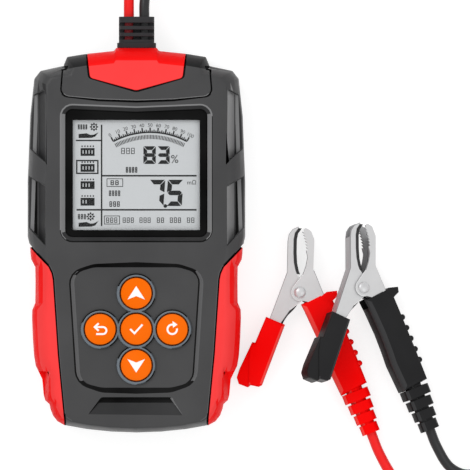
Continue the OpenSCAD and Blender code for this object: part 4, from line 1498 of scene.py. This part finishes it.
@dataclass
class Leads:
    """Slotted strain relief with the two leads that run from it to the clamps."""

    finishes: Finishes
    diameter: float = 4.1
    length: float = 0.44
    inside: Point3 = (0.0242, -0.0454, 0.0)

    def build(self, red_place: Matrix, black_place: Matrix) -> list[Object]:
        """Builds the strain relief and the leads.

        Args:
            red_place: Place of the red clamp, whose boot the red lead runs into.
            black_place: Place of the black clamp.

        Returns:
            The strain relief, the red lead and the black one.
        """
        f = self.finishes
        # The red lead's end inside the strain relief gets a darker red, painted shade.
        dress("tail_red", f["red_tail_painted_shade"])
        dress("tail_black", f["black_lead_sheath"])
        relief = recast("strain_relief", "strain_relief_moulding", "root", "black_rubber",
                        f.some("black_rubber"), 0.25, 30)
        ends = [tuple(place @ Vector(self.inside) / MM) for place in (red_place, black_place)]
        return [relief, self.lead("red", (*RED_ROUTE, ends[0])),
                self.lead("black", (*BLACK_ROUTE, ends[1]))]

    def lead(self, side: str, route: Sequence[Point3]) -> Object:
        """Builds one lead along its route.

        Args:
            side: Its colour.
            route: Points of its route in millimetres.

        Returns:
            The lead.
        """
        piece = wire(f"{side}_lead", curved(route, 6), self.diameter / 2 * MM,
                     self.finishes[f"{side}_lead_sheath"])
        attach(piece, "root")
        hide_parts(f"lead_{side}")
        return piece

    def declare(self, lead: Object, ends: list[Object]) -> None:
        """Takes a lead and the pieces of its clamp; it only turns the pieces into a list and
        declares nothing.

        Args:
            lead: The lead. Not used.
            ends: Pieces of the clamp on its end.
        """
        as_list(ends)


@dataclass
class Clamp:
    """Riveted spring clamp: fixed lever in its handle, free lever in its sleeve."""

    side: str
    place: Matrix
    finishes: Finishes
    coil_radius: float = 2.5
    wire_radius: float = 0.45
    coils: int = 4
    turn_steps: int = 22
    rivet_reach: float = 8.0
    rim: float = 0.2
    rim_least: float = 1.3
    sleeve_highlight_way: Point2 = (0.935, -0.354)
    handle_highlight_way: Point2 = (-0.92, -0.39)

    def painter(self, lit: Point2) -> Paint:
        """Makes a paint rule for a dipped part, with painted highlight and painted shade.

        Args:
            lit: Direction in the clamp's own plane whose softened edge gets the painted highlight.

        Returns:
            Rule that gives each face its slot.
        """
        turn = self.place.to_3x3().inverted()

        def paint(face: BMFace) -> int:
            """Slot of one face.

            Args:
                face: The face.

            Returns:
                Its slot.
            """
            n = turn @ face.normal
            if n.z > 0.93:
                return Dip.FACE
            if n.z > 0.25 and n.x * lit[0] + n.y * lit[1] > 0.3:
                return Dip.PAINTED_HIGHLIGHT
            return Dip.FACE if n.z > 0.25 else Dip.SIDE

        return paint

    def sheet_paint(self, face: BMFace) -> int:
        """Gives a lever's flat faces one slot and the inside of its channel and its side walls
        another, painted shade.

        Args:
            face: The face.

        Returns:
            Its slot.
        """
        turn = self.place.inverted()
        n, at = turn.to_3x3() @ face.normal, turn @ face.calc_center_median()
        return Lever.FACE if abs(n.z) > 0.9 and n.z * at.z > 0 else Lever.INSIDE_PAINTED_SHADE

    def sheet_edge(self, face: BMFace) -> int:
        """Gives a lever's rounded edges a painted dark outline, with a painted highlight line round
        the rivet.

        Args:
            face: The face.

        Returns:
            Its slot.
        """
        turn = self.place.inverted()
        n, at = turn.to_3x3() @ face.normal, (turn @ face.calc_center_median()) / MM
        near = math.hypot(at.x, at.y) < self.rivet_reach
        return Lever.LIT if n.z > 0.75 and near else Lever.RIM_PAINTED_SHADE

    def build(self) -> list[Object]:
        """Builds the clamp's pieces.

        Returns:
            The pieces.
        """
        f, side, clip, vinyl = self.finishes, self.side, f"{self.side}_clip", f"{self.side}_vinyl"
        sheet = f.some("nickel_sheet", "nickel_painted_highlight", "nickel_painted_shade", "nickel_painted_outline_shade")
        dip = f.some(f"{vinyl}_face", f"{vinyl}_edge", f"{vinyl}_side")
        lever = (sheet, self.rim, 30, Lever.RIM_PAINTED_SHADE, self.sheet_paint, (), self.sheet_edge,
                 self.rim_least)
        rows = [
            ("fixed_lever", "sheet", "root", "clamp_sheet", *lever),
            ("free_lever", "sheet", clip, "clamp_sheet", *lever),
            ("rivet", "head", "root", "rivet_steel", f.some("rivet_steel"), 0.0, 60),
            # The dark strip along the free jaw is painted shade of the jaw's folded sheet.
            ("contact", "strip", clip, "contact_dark", f.some("jaw_strip_painted_shade"), 0.1, 30),
            ("handle", "moulding", "root", f"{side}_handle", dip, 0.0, 40, -1,
             self.painter(self.handle_highlight_way)),
            ("sleeve", "moulding", clip, f"{side}_handle", dip, 0.0, 40, -1,
             self.painter(self.sleeve_highlight_way)),
        ]
        return [*(recast(f"{side}_{part}", f"{side}_{part}_{kind}", *rest)
                  for part, kind, *rest in rows), self.spring()]

    def spring(self) -> Object:
        """Winds the torsion spring round the rivet, with a leg on each lever.

        Returns:
            The spring.
        """
        high = self.coils * self.wire_radius * 0.94 - self.wire_radius
        last = self.coils * self.turn_steps
        helix = []
        for i in range(last + 1):
            angle = math.radians(250) + 2 * math.pi * i / self.turn_steps
            helix.append((self.coil_radius * math.cos(angle), self.coil_radius * math.sin(angle),
                          high - 2 * high * i / last))
        free_leg = [(-8.2, -14.6, 0.0), (-6.9, -11.6, 0.0), (-5.2, -9.0, 0.0),
                    (-2.8, -6.6, high * 0.4), (-1.4, -4.6, high)]
        fixed_leg = [(0.6, -2.9, -high), (2.6, -4.2, -high * 0.5), (4.4, -5.7, 0.0)]
        steel = self.finishes["blackened_wire"]
        holder = wire(f"{self.side}_coil", curved(free_leg + helix + fixed_leg, 2),
                      self.wire_radius * MM, steel, 3)
        mesh = bpy.data.meshes.new_from_object(holder)
        bpy.data.objects.remove(holder)
        mesh.transform(self.place)
        bm = bmesh.new()
        bm.from_mesh(mesh)
        bpy.data.meshes.remove(mesh)
        bmesh.ops.recalc_face_normals(bm, faces=bm.faces[:])
        piece = piece_from(f"{self.side}_torsion_spring", bm, (steel,), 50)
        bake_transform(piece)
        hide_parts(f"{self.side}_spring")
        return piece


@dataclass
class Studio:
    """Plain pale floor, soft light and the camera straight above."""

    middle: Point2 = (39.5, -4.2)
    seen: float = 188.0
    height: float = 4000.0

    def build(self) -> None:
        """Builds the floor, the lamps, the world and the camera."""
        self.floor()
        self.world()
        self.lamp("key_lamp", (-0.42, 0.5, 0.85), 0.55, 2.5)
        self.lamp("fill_lamp", (0.6, -0.35, 0.8), 0.8, 1.4)
        self.camera()

    def floor(self) -> None:
        """Lays the floor."""
        bm = bmesh.new()
        bmesh.ops.create_grid(bm, x_segments=1, y_segments=1, size=6.0)
        bmesh.ops.translate(bm, verts=bm.verts[:], vec=(0, 0, -0.0003))
        floor = piece_from("floor", bm, (Stage("pale_floor").build(),), smooth=False)

    def world(self) -> None:
        """Makes an even white surround."""
        world = bpy.data.worlds.new("studio")
        bpy.context.scene.world = world
        world.use_nodes = True
        tree = world.node_tree
        ground = tree.nodes["Background"]
        ground.inputs["Color"].default_value = (1, 1, 1, 1)
        rays = tree.nodes.new("ShaderNodeLightPath")
        choice = tree.nodes.new("ShaderNodeMapRange")
        choice.inputs["To Min"].default_value = 0.78
        choice.inputs["To Max"].default_value = 1.0
        tree.links.new(rays.outputs["Is Camera Ray"], choice.inputs["Value"])
        tree.links.new(choice.outputs["Result"], ground.inputs["Strength"])

    def lamp(self, name: str, place: Point3, size: float, power: float) -> None:
        """Hangs one square lamp that faces the tester.

        Args:
            name: Name of the lamp.
            place: Place in metres.
            size: Side of the lamp in metres.
            power: Power in watts.
        """
        data = bpy.data.lights.new(name, "AREA")
        data.size = size
        data.energy = power
        lamp = placed(name, data)
        lamp.location = place
        aim = Vector((self.middle[0] * MM, self.middle[1] * MM, 0.01)) - Vector(place)
        lamp.rotation_euler = aim.to_track_quat("-Z", "Y").to_euler()

    def camera(self) -> None:
        """Hangs the camera with a long lens above the tester and the clamps."""
        data = bpy.data.cameras.new("camera")
        data.sensor_width = 36.0
        data.lens = 36.0 * (self.height - FACE_Z) / self.seen
        data.clip_start = 0.05
        data.clip_end = 50.0
        camera = placed("camera", data)
        camera.location = (self.middle[0] * MM, self.middle[1] * MM, self.height * MM)
        bpy.context.scene.camera = camera


class Tester:
    """The whole assembly, built from its parts in order."""

    red_place: Matrix = Matrix.Translation((0.0656, -0.0273, 0.0048))
    black_tip: Vector = Vector((0.0892, 0.0005, 0.0068))
    black_roll: float = 23.0
    jaw: float = 0.0265
    boot: Point2 = (0.0287, -0.0565)

    def black_place(self) -> Matrix:
        """Place of the black clamp, rolled about the line from its jaw tips to its lead.

        Returns:
            The place, from the clamp's rivet.
        """
        axis = Vector((-self.boot[0], self.jaw - self.boot[1], 0.0))
        roll = Matrix.Rotation(math.radians(self.black_roll), 4, axis)
        return Matrix.Translation(self.black_tip) @ roll @ Matrix.Translation((0.0, -self.jaw, 0.0))

    def build(self) -> None:
        """Builds everything and reports each piece."""
        f = Finishes()
        Studio().build()
        leads = Leads(f)
        cord_pieces = leads.build(self.red_place, self.black_place())
        clamps = [Clamp("red", self.red_place, f).build(),
                  Clamp("black", self.black_place(), f).build()]
        leads.declare(cord_pieces[1], clamps[0])
        leads.declare(cord_pieces[2], clamps[1])
        housing = Housing(f)
        pieces = cord_pieces + clamps[0] + clamps[1] + housing.build()
        housing.dress_inside()
        pieces += Display(f).build() + Keypad(f).build()
        for piece in pieces:
            LOG.info("%s: %s", piece.name, piece.data.name)


def main() -> None:
    """Loads the frame and builds the tester."""
    logging.basicConfig(level=logging.INFO, format="%(name)s %(message)s")
    FRAME.update(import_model())
    bpy.context.scene.view_settings.view_transform = "Standard"
    Tester().build()
    bpy.context.view_layer.update()


if __name__ == "__main__":
    main()
